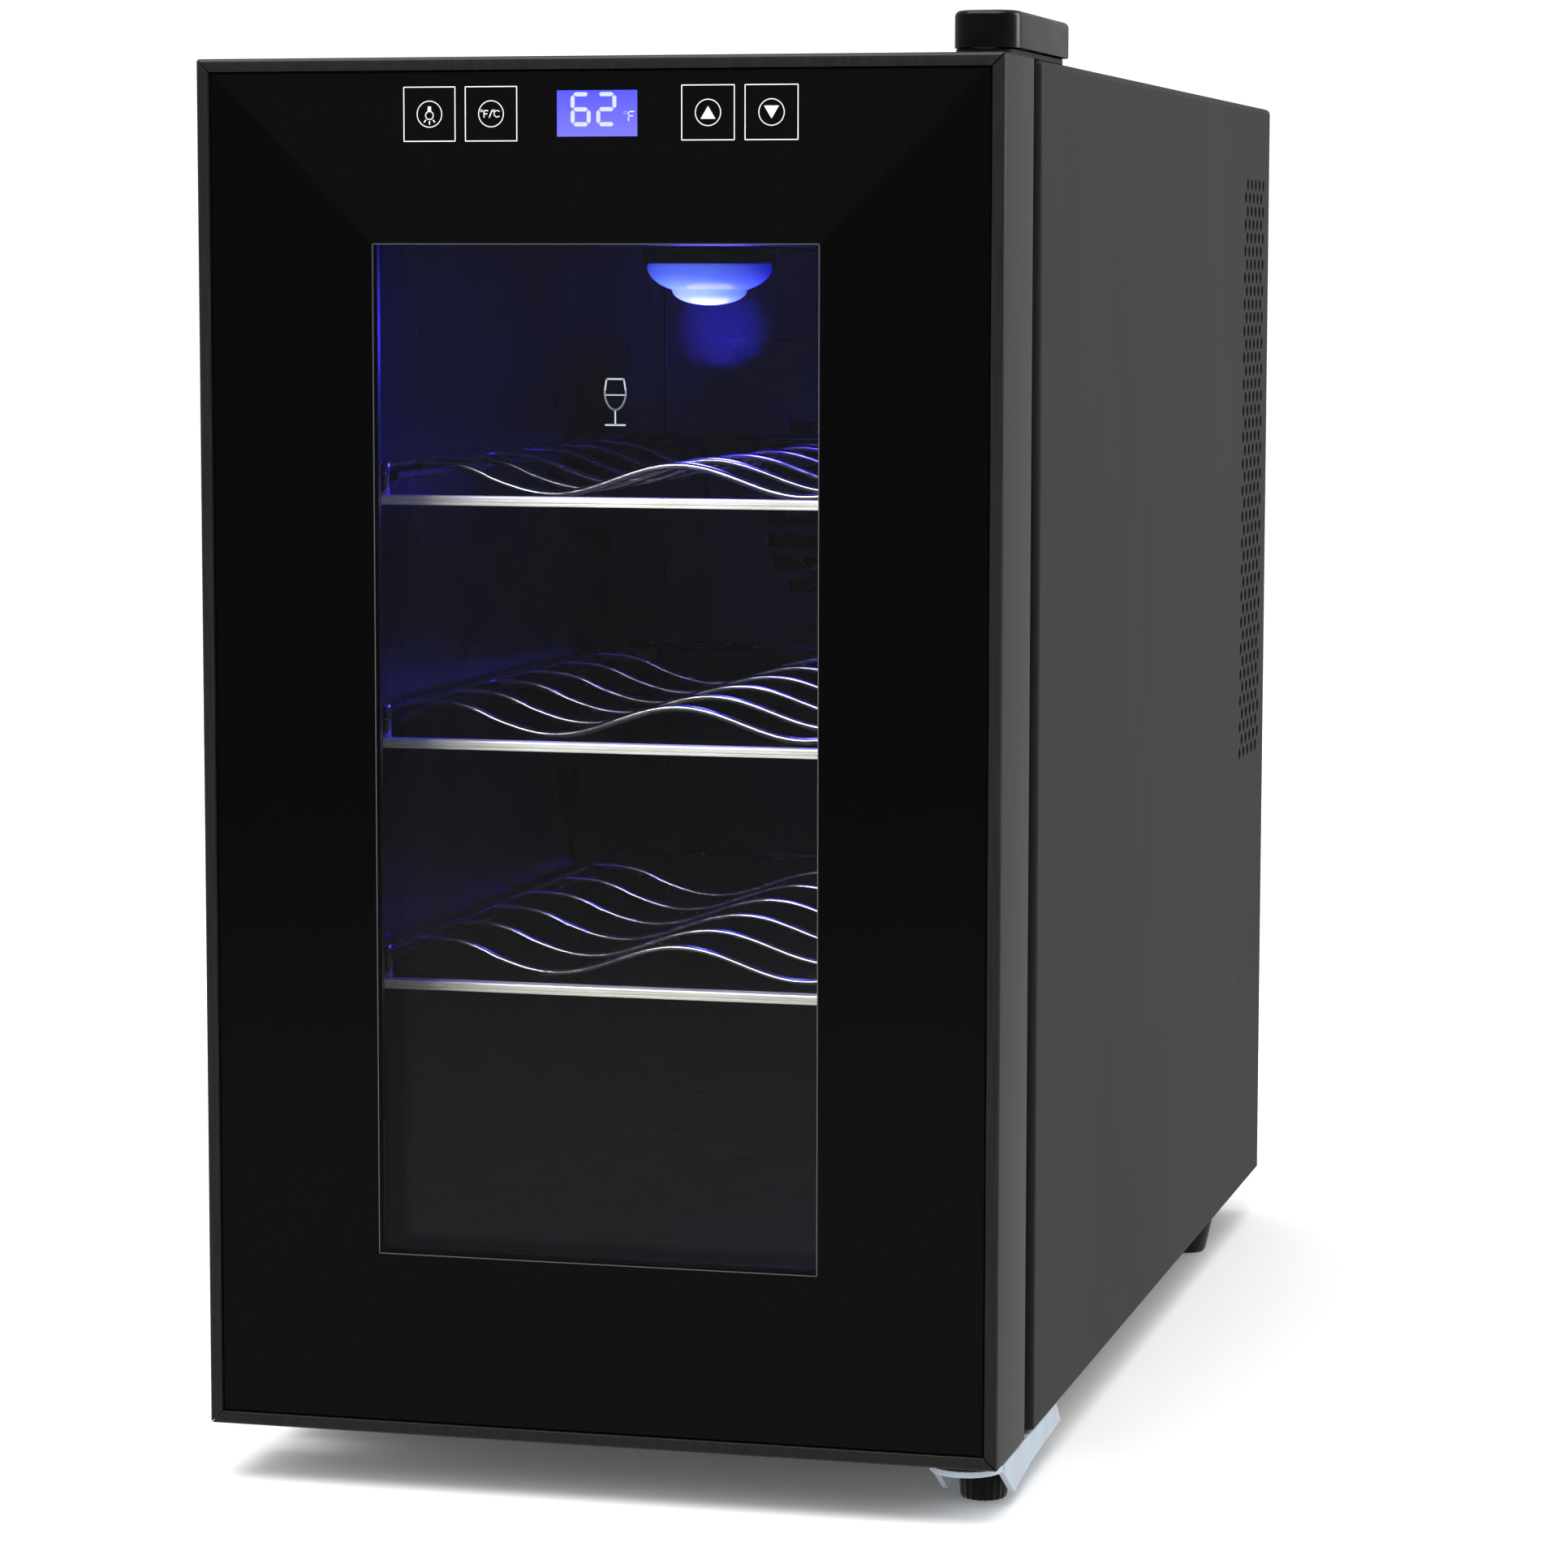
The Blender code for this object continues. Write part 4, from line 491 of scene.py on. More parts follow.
def circuit_laminate():
    """Glass-epoxy laminate under green solder mask: a faint 0.8 mm weave and copper areas of 4 mm."""
    made, tree, shader = finish("green_circuit_laminate", "14572F", 0.3, IOR=1.55)
    copper = pattern(tree, 4 * MM, 0.0, kind="ShaderNodeTexVoronoi", feature="F1", distance="CHEBYCHEV")
    tinted(tree, shader, copper.outputs["Distance"], "1B6E3C", "0F4A27", 0.35, 0.4)
    weave = pattern(tree, 0.8 * MM, 0.0).outputs["Fac"]
    raised(tree, shader, weave, 0.01 * MM, 0.4)
    return made


def transformer_tape():
    """Yellow polyester tape wound round the transformer: smooth, with an overlap line each 5 mm."""
    made, tree, shader = finish("yellow_polyester_tape", "D9A520", 0.35, IOR=1.6)
    laps = pattern(tree, 5 * MM, 1.0, (20, 20, 1)).outputs["Fac"]
    tinted(tree, shader, laps, "CF9A1A", "E0AE2B")
    roughened(tree, shader, laps, 0.28, 0.42)
    return made


def natural_nylon():
    """Turned nylon bush: milky and waxy, with turning marks every 0.5 mm."""
    made, tree, shader = finish("natural_nylon", "DAD5C8", 0.4, IOR=1.53, Subsurface_Weight=0.1)
    turning = pattern(tree, 0.5 * MM, 0.0, (20, 20, 1)).outputs["Fac"]
    tinted(tree, shader, turning, "D3CDBF", "E0DCD0")
    raised(tree, shader, turning, 0.01 * MM, 0.4)
    return made


# ---- Shapes ----
def placed(name, shape, looks, body=None):
    """Turns a shape into an object with its materials, riding on a body."""
    mesh = bpy.data.meshes.new(name)
    shape.to_mesh(mesh)
    shape.free()
    made = bpy.data.objects.new(name, mesh)
    for look in looks:
        mesh.materials.append(look)
    SCENE.collection.objects.link(made)
    if body:
        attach(made, body)
    return made


def turned(shape, profile, centre, sides, smooth=True):
    """Turns a profile of (radius, height) points about an upright axis."""
    rings = []
    for radius, height in profile:
        if radius < 1e-6:
            rings.append([shape.verts.new((centre[0], centre[1], height))])
            continue
        ring = []
        for step in range(sides):
            turn = 2 * math.pi * step / sides
            x = centre[0] + radius * math.cos(turn)
            y = centre[1] + radius * math.sin(turn)
            ring.append(shape.verts.new((x, y, height)))
        rings.append(ring)
    for upper, lower in zip(rings, rings[1:]):
        for here in range(sides):
            there = (here + 1) % sides
            corners = [upper[here % len(upper)], upper[there % len(upper)],
                       lower[there % len(lower)], lower[here % len(lower)]]
            distinct = list(dict.fromkeys(corners))
            if len(distinct) > 2:
                shape.faces.new(distinct).smooth = smooth
    return rings


def tube(shape, points, radius, sides=12):
    """A round wire along points, with closed ends."""
    points = [Vector(point) for point in points]
    rows = []
    side = None
    for place, point in enumerate(points):
        ahead = points[min(place + 1, len(points) - 1)] - points[max(place - 1, 0)]
        ahead.normalize()
        if side is None:
            side = ahead.orthogonal().normalized()
        side = (side - ahead * side.dot(ahead)).normalized()
        up = ahead.cross(side)
        row = []
        for step in range(sides):
            turn = 2 * math.pi * step / sides
            row.append(shape.verts.new(point + radius * (math.cos(turn) * side + math.sin(turn) * up)))
        rows.append(row)
    for first, second in zip(rows, rows[1:]):
        for here in range(sides):
            there = (here + 1) % sides
            shape.faces.new([first[here], first[there], second[there], second[here]]).smooth = True
    shape.faces.new(list(reversed(rows[0])))
    shape.faces.new(rows[-1])


def extruded(shape, outline, start, end):
    """A closed outline of (y, z) points drawn out along X."""
    ends = [[shape.verts.new((x, y, z)) for y, z in outline] for x in (start, end)]
    count = len(outline)
    shape.faces.new(ends[0])
    shape.faces.new(list(reversed(ends[1])))
    for here in range(count):
        there = (here + 1) % count
        shape.faces.new([ends[0][here], ends[1][here], ends[1][there], ends[0][there]])


def outward(shape):
    """Turns every face to look out of the solid."""
    bmesh.ops.recalc_face_normals(shape, faces=shape.faces)


def eased(name, width, look, angle=35, segments=2):
    """A CAD piece with its edges eased by a small radius, as a tool or a fold leaves them."""
    shape = bmesh.new()
    shape.from_mesh(frame["nodes"][name].data)
    bmesh.ops.remove_doubles(shape, verts=shape.verts, dist=2e-6)
    bmesh.ops.dissolve_limit(shape, angle_limit=math.radians(0.5), verts=shape.verts, edges=shape.edges)
    body = frame["nodes"][name]["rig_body"]
    for face in shape.faces:
        face.smooth = True
        face.material_index = 0
    made = placed(name + "_finished", shape, [look], body)
    for layer in [layer.name for layer in made.data.attributes if layer.name == "custom_normal"]:
        made.data.attributes.remove(made.data.attributes[layer])
    made.data.set_sharp_from_angle(angle=math.radians(angle))
    bevel = made.modifiers.new("eased_edges", "BEVEL")
    bevel.width = width
    bevel.segments = segments
    bevel.limit_method = "ANGLE"
    bevel.angle_limit = math.radians(angle)
    bevel.use_clamp_overlap = False
    bevel.harden_normals = True
    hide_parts(name)
    return made


# ---- Cabinet ----
def cabinet_sheet(look):
    """The folded sheet: two perforated sides, the top with rounded corners, and the front edge turned in."""
    low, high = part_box("cabinet_wrapper")
    half, front, back, bottom, top = high.x, low.y, high.y, low.z, high.z
    bend = 2.2 * MM
    flange = 22.5 * MM
    shape = bmesh.new()

    def ring(y, inset):
        reach = max(bend, inset)
        radius = max(bend - inset, 0)
        right = [(half - inset, bottom)]
        for step in range(7):
            turn = math.pi / 2 * step / 6
            right.append((half - reach + radius * math.cos(turn), top - reach + radius * math.sin(turn)))
        left = [(-x, z) for x, z in right]
        return [shape.verts.new((x, y, z)) for x, z in left + list(reversed(right))]

    rings = [ring(back, 0), ring(front + bend, 0)]
    for step in range(1, 7):
        turn = math.pi / 2 * step / 6
        rings.append(ring(front + bend * (1 - math.sin(turn)), bend * (1 - math.cos(turn))))
    rings.append(ring(front, flange))
    sides = (0, len(rings[0]) - 2)
    flat_top = len(rings[0]) // 2 - 1
    for row, (rear, fore) in enumerate(zip(rings, rings[1:])):
        for here in range(len(rear) - 1):
            if row == 0 and here in sides:
                continue
            face = shape.faces.new([rear[here], rear[here + 1], fore[here + 1], fore[here]])
            face.smooth = row > 0 or here != flat_top
    for here, outer in ((0, (0, 1)), (sides[1], (1, 0))):
        corners = {}
        for level, offset in zip(("low", "high"), outer):
            corners[level] = (rings[1][here + offset], rings[0][here + offset])
        perforated_side(shape, corners)
    bmesh.ops.remove_doubles(shape, verts=shape.verts, dist=1e-6)
    outward(shape)
    made = placed("cabinet_sheet", shape, [look], "cabinet")
    thick = made.modifiers.new("sheet", "SOLIDIFY")
    thick.thickness = 1 * MM
    thick.offset = -1
    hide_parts("cabinet_wrapper")


def perforated_side(shape, corners):
    """One side of the sheet, with staggered round holes beside the hot heat sink."""
    x = corners["low"][0].co.x
    columns, rows = 10, 44
    across, up = 4.9 * MM, 5.12 * MM
    start_y, start_z = 198.4 * MM, 188.8 * MM
    radius = 2.32 * MM
    points = 16
    first_turn = math.radians(225)
    grid = {}

    def knot(i, j):
        if (i, j) not in grid:
            grid[i, j] = shape.verts.new((x, start_y + across * i / 2, start_z + up * j / 2))
        return grid[i, j]

    steps = [(0, 0), (1, 0), (2, 0), (2, 1), (2, 2), (1, 2), (0, 2), (0, 1)]
    for column in range(columns):
        for row in range(rows):
            edge = [knot(2 * column + i, 2 * row + j) for i, j in steps]
            if (column + row) % 2:
                shape.faces.new(edge)
                continue
            middle_y = start_y + across * (column + 0.5)
            middle_z = start_z + up * (row + 0.5)
            hole = []
            for step in range(points):
                turn = first_turn + 2 * math.pi * step / points
                y = middle_y + radius * math.cos(turn)
                z = middle_z + radius * math.sin(turn)
                hole.append(shape.verts.new((x, y, z)))
            for here in range(len(steps)):
                there = (here + 1) % len(steps)
                rim = [hole[2 * here], hole[2 * here + 1], hole[(2 * here + 2) % points]]
                shape.faces.new([edge[here], edge[there]] + list(reversed(rim)))
    last_i, last_j = 2 * columns, 2 * rows
    front_low, back_low = corners["low"]
    front_high, back_high = corners["high"]
    under = [knot(i, 0) for i in range(last_i + 1)]
    over = [knot(i, last_j) for i in range(last_i + 1)]
    fore = [knot(0, j) for j in range(last_j + 1)]
    rear = [knot(last_i, j) for j in range(last_j + 1)]
    shape.faces.new([front_low, back_low] + list(reversed(under)))
    shape.faces.new([back_high, front_high] + over)
    shape.faces.new([front_high, front_low] + fore)
    shape.faces.new([back_low, back_high] + list(reversed(rear)))


def hinge_cover(look):
    """The moulded cap over the upper hinge: rounded like a tablet, softened round the top, open below."""
    low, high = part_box("hinge_cover")
    corner, edge, wall = 8.0 * MM, 1.8 * MM, 1.2 * MM
    shape = bmesh.new()

    def outline(inset, z):
        reach = corner - inset
        points = []
        for side, end, start in ((1, 1, 0), (-1, 1, 90), (-1, -1, 180), (1, -1, 270)):
            middle_x = (high.x if side > 0 else low.x) - side * corner
            middle_y = (high.y if end > 0 else low.y) - end * corner
            points += arc((middle_x, middle_y), reach, start, start + 90, 9)
        return [shape.verts.new((x, y, z)) for x, y in points]

    rows = [outline(wall, high.z - wall), outline(wall, low.z), outline(0, low.z), outline(0, high.z - edge)]
    for step in range(1, 6):
        turn = math.pi / 2 * step / 5
        rows.append(outline(edge * (1 - math.cos(turn)), high.z - edge * (1 - math.sin(turn))))
    count = len(rows[0])
    for first, second in zip(rows, rows[1:]):
        for here in range(count):
            there = (here + 1) % count
            face = shape.faces.new([first[here], first[there], second[there], second[here]])
            face.smooth = first is not rows[1]
    shape.faces.new(rows[0])
    shape.faces.new(rows[-1]).smooth = True
    outward(shape)
    cap = placed("hinge_cover_moulding", shape, [look], "cabinet")
    cap.data.set_sharp_from_angle(angle=math.radians(40))
    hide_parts("hinge_cover")


# ---- Shelves ----
def shelf(name, body, strip_look, wire_look):
    """A welded shelf: a flat front strip with a lip, two side rods, a rear bar and waved cross wires."""
    low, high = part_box(name)
    half = high.x
    front, back = low.y, high.y
    rod = 1.6 * MM
    rod_z = high.z - rod
    wire = 1.3 * MM
    wave_length = 84 * MM
    wave_depth = 9.8 * MM
    fade_from = 63 * MM
    level = low.z + 1.3 * MM
    strip = bmesh.new()
    under, over = level - 1.3 * MM, level + 1.75 * MM
    groove = level - 0.3 * MM
    depth = 5 * MM
    outline = [
        (front + 0.3 * MM, under), (front + 0.1 * MM, under + 0.15 * MM),
        (front + 0.1 * MM, groove - 0.2 * MM),
        (front + 0.4 * MM, groove - 0.1 * MM), (front + 0.4 * MM, groove + 0.1 * MM),
        (front + 0.05 * MM, groove + 0.2 * MM), (front, groove + 0.45 * MM), (front, over - 0.5 * MM),
        (front + 0.15 * MM, over - 0.15 * MM), (front + 0.5 * MM, over), (front + depth, over),
        (front + depth, under),
    ]
    extruded(strip, outline, -half, half)
    outward(strip)
    face = placed(name + "_front_strip", strip, [strip_look], body)
    wires = bmesh.new()
    rod_x = half - rod
    for side in (-1, 1):
        tube(wires, [(side * rod_x, front + 3 * MM, level), (side * rod_x, front + 3 * MM, rod_z - 0.6 * MM),
                     (side * rod_x, front + 3.4 * MM, rod_z), (side * rod_x, front + 5 * MM, rod_z),
                     (side * rod_x, back, rod_z)], rod, 16)
    tube(wires, [(-rod_x, back - 4 * MM, rod_z), (rod_x, back - 4 * MM, rod_z)], wire)
    pitch = (back - front) / 7
    for number in range(6):
        y = front + pitch * (number + 0.75)
        points = []
        for step in range(61):
            x = -rod_x + 2 * rod_x * step / 60
            drop = wave_depth / 2 * (1 - math.cos(2 * math.pi * x / wave_length))
            drop *= min(1.0, (rod_x - abs(x)) / (rod_x - fade_from))
            points.append((x, y, rod_z - drop))
        tube(wires, points, wire)
    outward(wires)
    web = placed(name + "_wires", wires, [wire_look], body)
    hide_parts(name)
    return face, web


# ---- Door ----
def door_glass(print_look, pane_look):
    """The outer pane: an opaque printed border round a clear window, with ground edges."""
    low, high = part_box("outer_glass")
    shape = bmesh.new()
    ground = 0.4 * MM
    loops = [
        (high.x - ground, low.z + ground, high.z - ground, low.y),
        (high.x, low.z, high.z, low.y + ground),
        (high.x, low.z, high.z, high.y - ground),
        (high.x - ground, low.z + ground, high.z - ground, high.y),
    ]

    def loop(half, bottom, top, y):
        return [shape.verts.new(corner) for corner in
                ((-half, y, bottom), (half, y, bottom), (half, y, top), (-half, y, top))]

    def band(first, second, index):
        for here in range(4):
            there = (here + 1) % 4
            shape.faces.new([first[here], first[there], second[there], second[here]]).material_index = index

    rows = [loop(*values) for values in loops]
    for first, second in zip(rows, rows[1:]):
        band(first, second, 0)
    for row, y in ((rows[0], low.y), (rows[-1], high.y)):
        window = loop(WINDOW_HALF, WINDOW_LOW, WINDOW_HIGH, y)
        band(row, window, 0)
        shape.faces.new(window).material_index = 1
    outward(shape)
    made = placed("door_glass", shape, [print_look, pane_look], "door")
    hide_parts("outer_glass")


def window_line(ink):
    """A fine grey line round the clear window, where the print ends."""
    y = GLASS_FRONT - 0.02 * MM
    shape = bmesh.new()
    half = WINDOW_HALF + 0.1 * MM
    corners = [(-half, WINDOW_LOW), (half, WINDOW_LOW), (half, WINDOW_HIGH), (-half, WINDOW_HIGH)]
    stroke(shape, corners, 0.3 * MM, y, True)
    made = placed("window_line_print", shape, [ink], "door")


def stroke(shape, points, width, y, closed=False):
    """A printed line of one width through (x, z) points, flat on the glass."""
    pairs = list(zip(points, points[1:] + points[:1] if closed else points[1:]))
    for (x0, z0), (x1, z1) in pairs:
        length = math.hypot(x1 - x0, z1 - z0) or 1.0
        along = ((x1 - x0) / length * width / 2, (z1 - z0) / length * width / 2)
        across = (-along[1], along[0])
        corners = [
            (x0 - along[0] + across[0], z0 - along[1] + across[1]),
            (x0 - along[0] - across[0], z0 - along[1] - across[1]),
            (x1 + along[0] - across[0], z1 + along[1] - across[1]),
            (x1 + along[0] + across[0], z1 + along[1] + across[1]),
        ]
        shape.faces.new([shape.verts.new((x, y, z)) for x, z in corners])


def arc(centre, radius, start=0.0, end=360.0, steps=32):
    """Points along part of a circle, from one angle in degrees to another."""
    angles = [math.radians(start + (end - start) * step / steps) for step in range(steps + 1)]
    return [(centre[0] + radius * math.cos(a), centre[1] + radius * math.sin(a)) for a in angles]


def filled(shape, outline, y):
    """A printed area inside an outline of (x, z) points."""
    shape.faces.new([shape.verts.new((x, y, z)) for x, z in outline])


def touch_keys(ink):
    """Four printed squares with a lamp, a unit, an up and a down sign in a ring."""
    y = GLASS_FRONT - 0.03 * MM
    z = 424.9 * MM
    half = 8.1 * MM
    line = 0.27 * MM
    shape = bmesh.new()
    keys = [-51.35 * MM, -31.9 * MM, 35.65 * MM, 55.15 * MM]
    for x in keys:
        square = [(x - half, z - half), (x + half, z - half), (x + half, z + half), (x - half, z + half)]
        stroke(shape, square, line, y, True)
        stroke(shape, arc((x, z), 3.9 * MM), line, y)
    lamp_sign(shape, keys[0], z, y)
    unit_sign(shape, keys[1], z, y)
    for x, way in ((keys[2], 1), (keys[3], -1)):
        tall = 1.9 * MM * way
        filled(shape, [(x - 2.3 * MM, z - tall), (x + 2.3 * MM, z - tall), (x, z + tall)], y)
    made = placed("touch_key_print", shape, [ink], "door")


def lamp_sign(shape, x, z, y):
    """A small bulb with rays below it."""
    thin = 0.35 * MM
    stroke(shape, arc((x, z - 0.4 * MM), 1.2 * MM), thin, y)
    filled(shape, [(x - 0.6 * MM, z + 0.9 * MM), (x + 0.6 * MM, z + 0.9 * MM),
                   (x + 0.45 * MM, z + 2.3 * MM), (x - 0.45 * MM, z + 2.3 * MM)], y)
    for turn in (-130, -90, -50):
        way = (math.cos(math.radians(turn)), math.sin(math.radians(turn)))
        points = [(x + way[0] * reach * MM, z - 0.4 * MM + way[1] * reach * MM) for reach in (1.9, 2.5)]
        stroke(shape, points, thin, y)


def letter(shape, kind, x, z, size, width, y):
    """A plain F or C, size tall, with its left edge at x."""
    wide = size * 0.6
    if kind == "F":
        stroke(shape, [(x + wide, z + size / 2), (x, z + size / 2), (x, z - size / 2)], width, y)
        stroke(shape, [(x, z), (x + wide * 0.8, z)], width, y)
    else:
        stroke(shape, arc((x + wide * 0.55, z), size / 2, 50, 310, 16), width, y)


def unit_sign(shape, x, z, y):
    """The signs of the two degree scales with a stroke between them."""
    size = 1.9 * MM
    thin = 0.3 * MM
    stroke(shape, arc((x - 3.0 * MM, z + 0.9 * MM), 0.3 * MM, steps=10), 0.2 * MM, y)
    letter(shape, "F", x - 2.2 * MM, z, size, thin, y)
    stroke(shape, [(x - 0.5 * MM, z - 1.0 * MM), (x + 0.3 * MM, z + 1.0 * MM)], thin, y)
    stroke(shape, arc((x + 0.9 * MM, z + 0.9 * MM), 0.3 * MM, steps=10), 0.2 * MM, y)
    letter(shape, "C", x + 1.3 * MM, z, size, thin, y)


def digit(shape, lit, x, z, wide, tall, width, y):
    """A seven-segment digit; lit names its segments, a to g."""
    places = {
        "a": ((x, z + tall), (x + wide, z + tall)),
        "b": ((x + wide, z + tall), (x + wide, z + tall / 2)),
        "c": ((x + wide, z + tall / 2), (x + wide, z)),
        "d": ((x, z), (x + wide, z)),
        "e": ((x, z), (x, z + tall / 2)),
        "f": ((x, z + tall / 2), (x, z + tall)),
        "g": ((x, z + tall / 2), (x + wide, z + tall / 2)),
    }
    for segment in lit:
        (x0, z0), (x1, z1) = places[segment]
        length = math.hypot(x1 - x0, z1 - z0)
        along = ((x1 - x0) / length, (z1 - z0) / length)
        across = (-along[1] * width / 2, along[0] * width / 2)
        shy = 0.2 * MM
        taper = width / 2
        outline = []
        for reach, side in ((shy, 0), (shy + taper, 1), (length - shy - taper, 1), (length - shy, 0),
                            (length - shy - taper, -1), (shy + taper, -1)):
            x_edge = x0 + along[0] * reach + across[0] * side
            z_edge = z0 + along[1] * reach + across[1] * side
            outline.append((x_edge, z_edge))
        filled(shape, outline, y)


def display(panel, ink):
    """The lit panel behind the glass, reading 62 on the Fahrenheit scale."""
    low_x, high_x, low_z, high_z = -11.2 * MM, 13.8 * MM, PANEL_LOW, 431.7 * MM
    wide, tall, thick = 5.0 * MM, 8.9 * MM, 1.25 * MM
    y = GLASS_FRONT - 0.02 * MM
    above = y - 0.02 * MM
    shape = bmesh.new()
    filled(shape, [(low_x, low_z), (high_x, low_z), (high_x, high_z), (low_x, high_z)], y)
    made = placed("display_panel", shape, [panel], "door")
    marks = bmesh.new()
    base = low_z + 3.6 * MM
    digit(marks, "acdefg", low_x + 4.9 * MM, base, wide, tall, thick, above)
    digit(marks, "abdeg", low_x + 12.9 * MM, base, wide, tall, thick, above)
    stroke(marks, arc((high_x - 3.7 * MM, base + 3.4 * MM), 0.42 * MM, steps=12), 0.25 * MM, above)
    letter(marks, "F", high_x - 2.7 * MM, base + 2.4 * MM, 2.6 * MM, 0.4 * MM, above)
    digits = placed("display_digits", marks, [ink], "door")


def glass_mark(ink):
    """A plain outline of a stemmed glass, printed on the window."""
    y = GLASS_FRONT - 0.03 * MM
    x, z = 6.8 * MM, 338.7 * MM
    line = 0.5 * MM
    bowl_half, bowl_deep = 3.3 * MM, 5.4 * MM
    shape = bmesh.new()
    bowl = []
    for step in range(21):
        turn = math.radians(-180 + 180 * step / 20)
        bowl.append((x + bowl_half * math.cos(turn), z + 3.2 * MM + bowl_deep * math.sin(turn)))
    rim = [(x - 2.7 * MM, z + 7.0 * MM)] + bowl + [(x + 2.7 * MM, z + 7.0 * MM)]
    stroke(shape, rim, line, y, True)
    stroke(shape, [(x, z - 2.2 * MM), (x, z - 6.6 * MM)], line, y)
    stroke(shape, [(x - 3.0 * MM, z - 6.8 * MM), (x + 3.0 * MM, z - 6.8 * MM)], line, y)
    stroke(shape, [(x - 2.9 * MM, z + 2.2 * MM), (x + 2.9 * MM, z + 2.2 * MM)], line * 0.7, y)
    made = placed("glass_sign_print", shape, [ink], "door")


# ---- Lamp ----
def lamp(lens_look, base_look):
    """A moulded ring base and a stepped frosted lens, lit."""
    low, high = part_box("lamp_lens")
    radius, deep = high.x, high.z - low.z
    shape = bmesh.new()
    # The curved shoulder down to the dome, as parts of the lens's radius and depth.
    shoulder = [(1.0, 0.03), (1.0, 0.15), (0.985, 0.22), (0.94, 0.33), (0.87, 0.43), (0.78, 0.52),
                (0.68, 0.585), (0.62, 0.62), (0.6, 0.65)]
    dome_reach, dome_start = shoulder[-1]
    profile = [(radius - 0.4 * MM, high.z)]
    profile += [(radius * reach, high.z - deep * down) for reach, down in shoulder]
    for step in range(1, 11):
        turn = math.pi / 2 * step / 10
        down = dome_start + (1 - dome_start) * math.sin(turn)
        profile.append((radius * dome_reach * math.cos(turn), high.z - deep * down))
    profile[-1] = (0, low.z)
    turned(shape, profile, LAMP, LAMP_SIDES)
    outward(shape)
    made = placed("lamp_lens_lit", shape, [lens_look], "cabinet")
    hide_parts("lamp_lens")
    low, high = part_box("lamp_base")
    base = bmesh.new()
    rim = high.x
    wall, hollow = 5 * MM, low.z + 3 * MM
    profile = [
        (0, high.z), (rim - 0.5 * MM, high.z), (rim, high.z - 0.5 * MM), (rim, low.z + 0.6 * MM),
        (rim - 0.6 * MM, low.z), (rim - wall, low.z), (rim - wall, hollow), (0, hollow),
    ]
    turned(base, profile, LAMP, LAMP_SIDES, False)
    outward(base)
    for face in base.faces:
        face.smooth = abs(face.normal.z) < 0.5
    ring = placed("lamp_base_moulding", base, [base_look], "cabinet")
    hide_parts("lamp_base")


def lamp_glow():
    """The diode's blue light in the compartment."""
    glow = bpy.data.lights.new("lamp_glow", "POINT")
    glow.energy = 0.5
    glow.color = (0.04, 0.03, 1.0)
    glow.shadow_soft_size = 0.012
    lit = bpy.data.objects.new("lamp_glow", glow)
    lit.location = (LAMP[0], LAMP[1], LAMP_LOW - 8 * MM)
    SCENE.collection.objects.link(lit)


def dress(look, *names):
    """Gives CAD nodes a finish."""
    for name in names:
        for slot in frame["nodes"][name].material_slots:
            slot.material = look


# ---- Places taken from the model ----
GLASS_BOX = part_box("outer_glass")
GLASS_FRONT = GLASS_BOX[0].y
FRAME_LIP = 4.3 * MM  # the frame's width round the glass
PRINT_BELOW = 57 * MM  # from the door's lower edge to the clear window
PRINT_ABOVE = 56 * MM
WINDOW_HALF = 69.7 * MM
WINDOW_LOW = GLASS_BOX[0].z - FRAME_LIP + PRINT_BELOW
WINDOW_HIGH = GLASS_BOX[1].z + FRAME_LIP - PRINT_ABOVE
PANEL_LOW = 418.0 * MM  # the lit display's lower edge
LAMP_SIDES = 72
LENS_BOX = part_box("lamp_lens")
LAMP = ((LENS_BOX[0].x + LENS_BOX[1].x) / 2, (LENS_BOX[0].y + LENS_BOX[1].y) / 2)
LAMP_LOW = LENS_BOX[0].z

camera()
studio(floor())

steel = coil_coated_steel()
frame_look = anodised_frame()
abs_black = glossy_abs()
liner_look = formed_polystyrene()
zinc = passivated_zinc()
chrome = chromed_wire()
strip = brushed_strip()
feet_look = satin_polypropylene()
glass_print = enamelled_glass()
outer_pane = window_glass("coated_outer_pane", "FAFBFB", 0.06)
inner_pane = window_glass("clear_inner_pane", "FDFEFE", 0.0)
# The white ink's glow of 0.3 is painted glow: the printed key signs light themselves.
white_ink = ceramic_ink("white_ceramic_ink_painted_glow", "E4E6E8", 0.3)
# The silver ink's glow of 0.12 is painted glow on the printed glass sign.
grey_ink = ceramic_ink("silver_ceramic_ink_painted_glow", "A9AFB8", 0.12)
digit_ink = ceramic_ink("lit_digits", "A9AFD2", 0.45)
gasket = soft_pvc()
board = circuit_laminate()
white_plastic = white_abs()
aluminium = extruded_aluminium()
nylon = natural_nylon()
galvanised = galvanised_sheet()

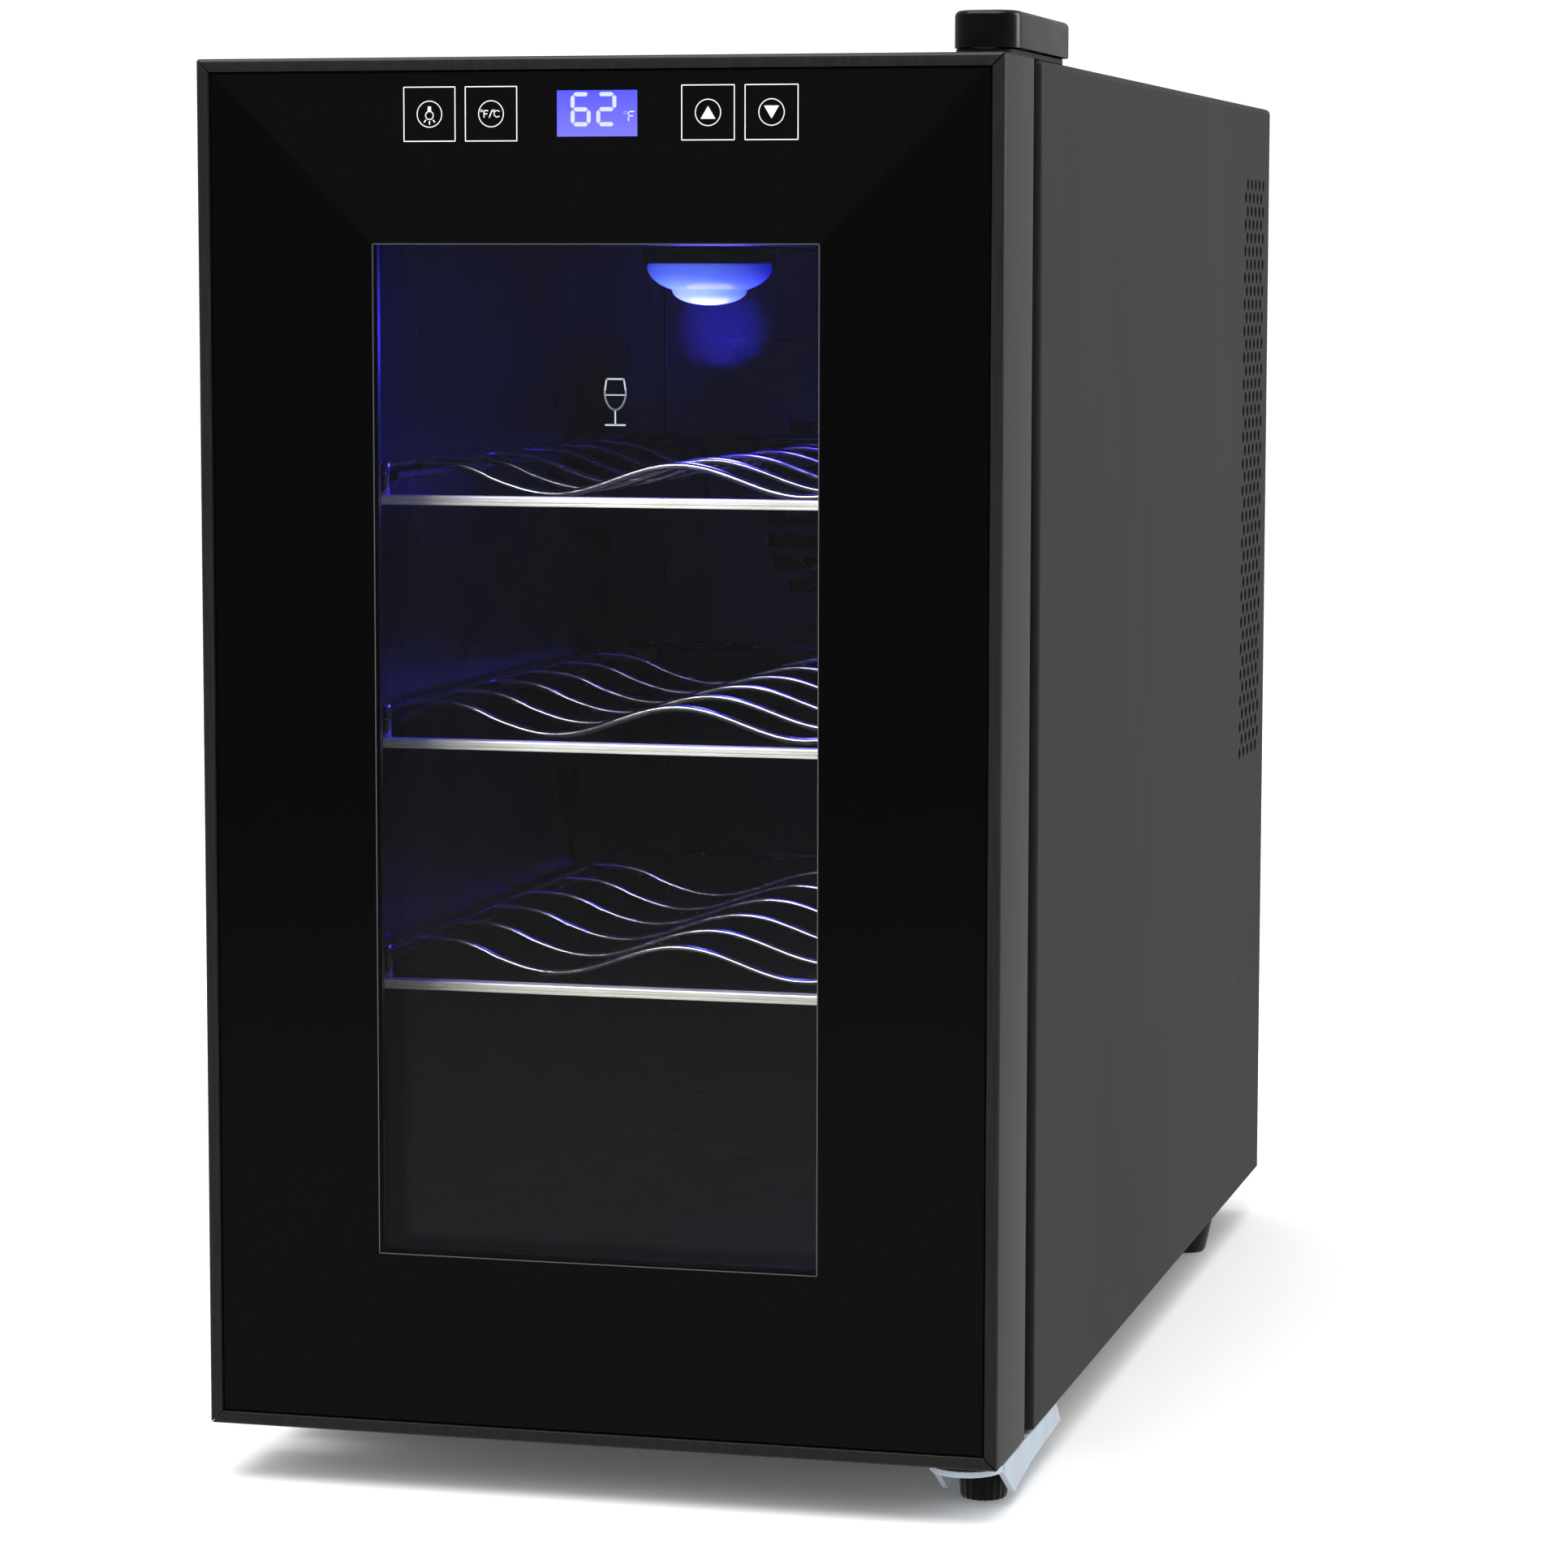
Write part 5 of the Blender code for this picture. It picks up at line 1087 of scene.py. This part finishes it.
cabinet_sheet(steel)
shelves = [shelf("shelf_" + level, level + "_shelf", strip, chrome) for level in ("lower", "middle", "upper")]
strips = [face for face, web in shelves]
webs = [web for face, web in shelves]
softbox("strip_softbox", (-0.35, -1.5, 1.15), (0, -0.15, 0.23), (0.9, 0.5), 75, strips)
softbox("wire_softbox", (-0.35, -1.5, 1.15), (0, -0.15, 0.23), (0.9, 0.5), 26, webs)
door_glass(glass_print, outer_pane)
window_line(ceramic_ink("dark_grey_ceramic_ink", "505254", 0.0))
touch_keys(white_ink)
display(backlit_panel(), digit_ink)
glass_mark(grey_ink)
lamp(lit_lens(), abs_black)
lamp_glow()

for bar in ("door_rail_top", "door_rail_bottom", "door_stile_left", "door_stile_right"):
    eased(bar, 0.25 * MM, frame_look)
hinge_cover(abs_black)
eased("upper_hinge_plate", 0.3 * MM, steel)
eased("lower_hinge_bracket", 0.35 * MM, zinc)
eased("levelling_foot_left", 0.15 * MM, feet_look)
eased("levelling_foot_right", 0.15 * MM, feet_look)
eased("rear_foot_left", 0.3 * MM, feet_look)
eased("rear_foot_right", 0.3 * MM, feet_look)
eased("door_inner_panel", 0.5 * MM, liner_look)
eased("inner_liner", 0.8 * MM, liner_look)
eased("air_duct_cover", 0.3 * MM, liner_look)
eased("rear_cover", 0.2 * MM, steel)
eased("base_plate", 0.3 * MM, steel)
eased("power_inlet", 0.3 * MM, abs_black)
eased("door_gasket", 0.4 * MM, gasket)

dress(galvanised, "rear_bulkhead")
dress(zinc, "upper_hinge_pin", "upper_hinge_screw_front", "upper_hinge_screw_rear", "lower_hinge_pin",
      "lower_hinge_screw_front", "lower_hinge_screw_rear", "clamp_screw_left", "clamp_screw_right",
      "rear_cover_screw_low_left", "rear_cover_screw_low_right", "rear_cover_screw_high_left",
      "rear_cover_screw_high_right")
dress(abs_black, "cold_fan_frame", "cold_fan_rotor", "hot_fan_frame", "hot_fan_rotor", "display_module")
dress(inner_pane, "inner_glass")
dress(dark_spacer(), "glass_spacer")
dress(expanded_foam(), "insulation_foam")
dress(aluminium, "cold_heat_sink", "hot_heat_sink", "cold_transfer_block")
dress(alumina(), "thermoelectric_module")
dress(board, "power_board", "touch_board", "lamp_board")
dress(transformer_tape(), "power_transformer")
dress(white_plastic, "temperature_sensor")
dress(nylon, "upper_hinge_bush", "lower_hinge_bush")
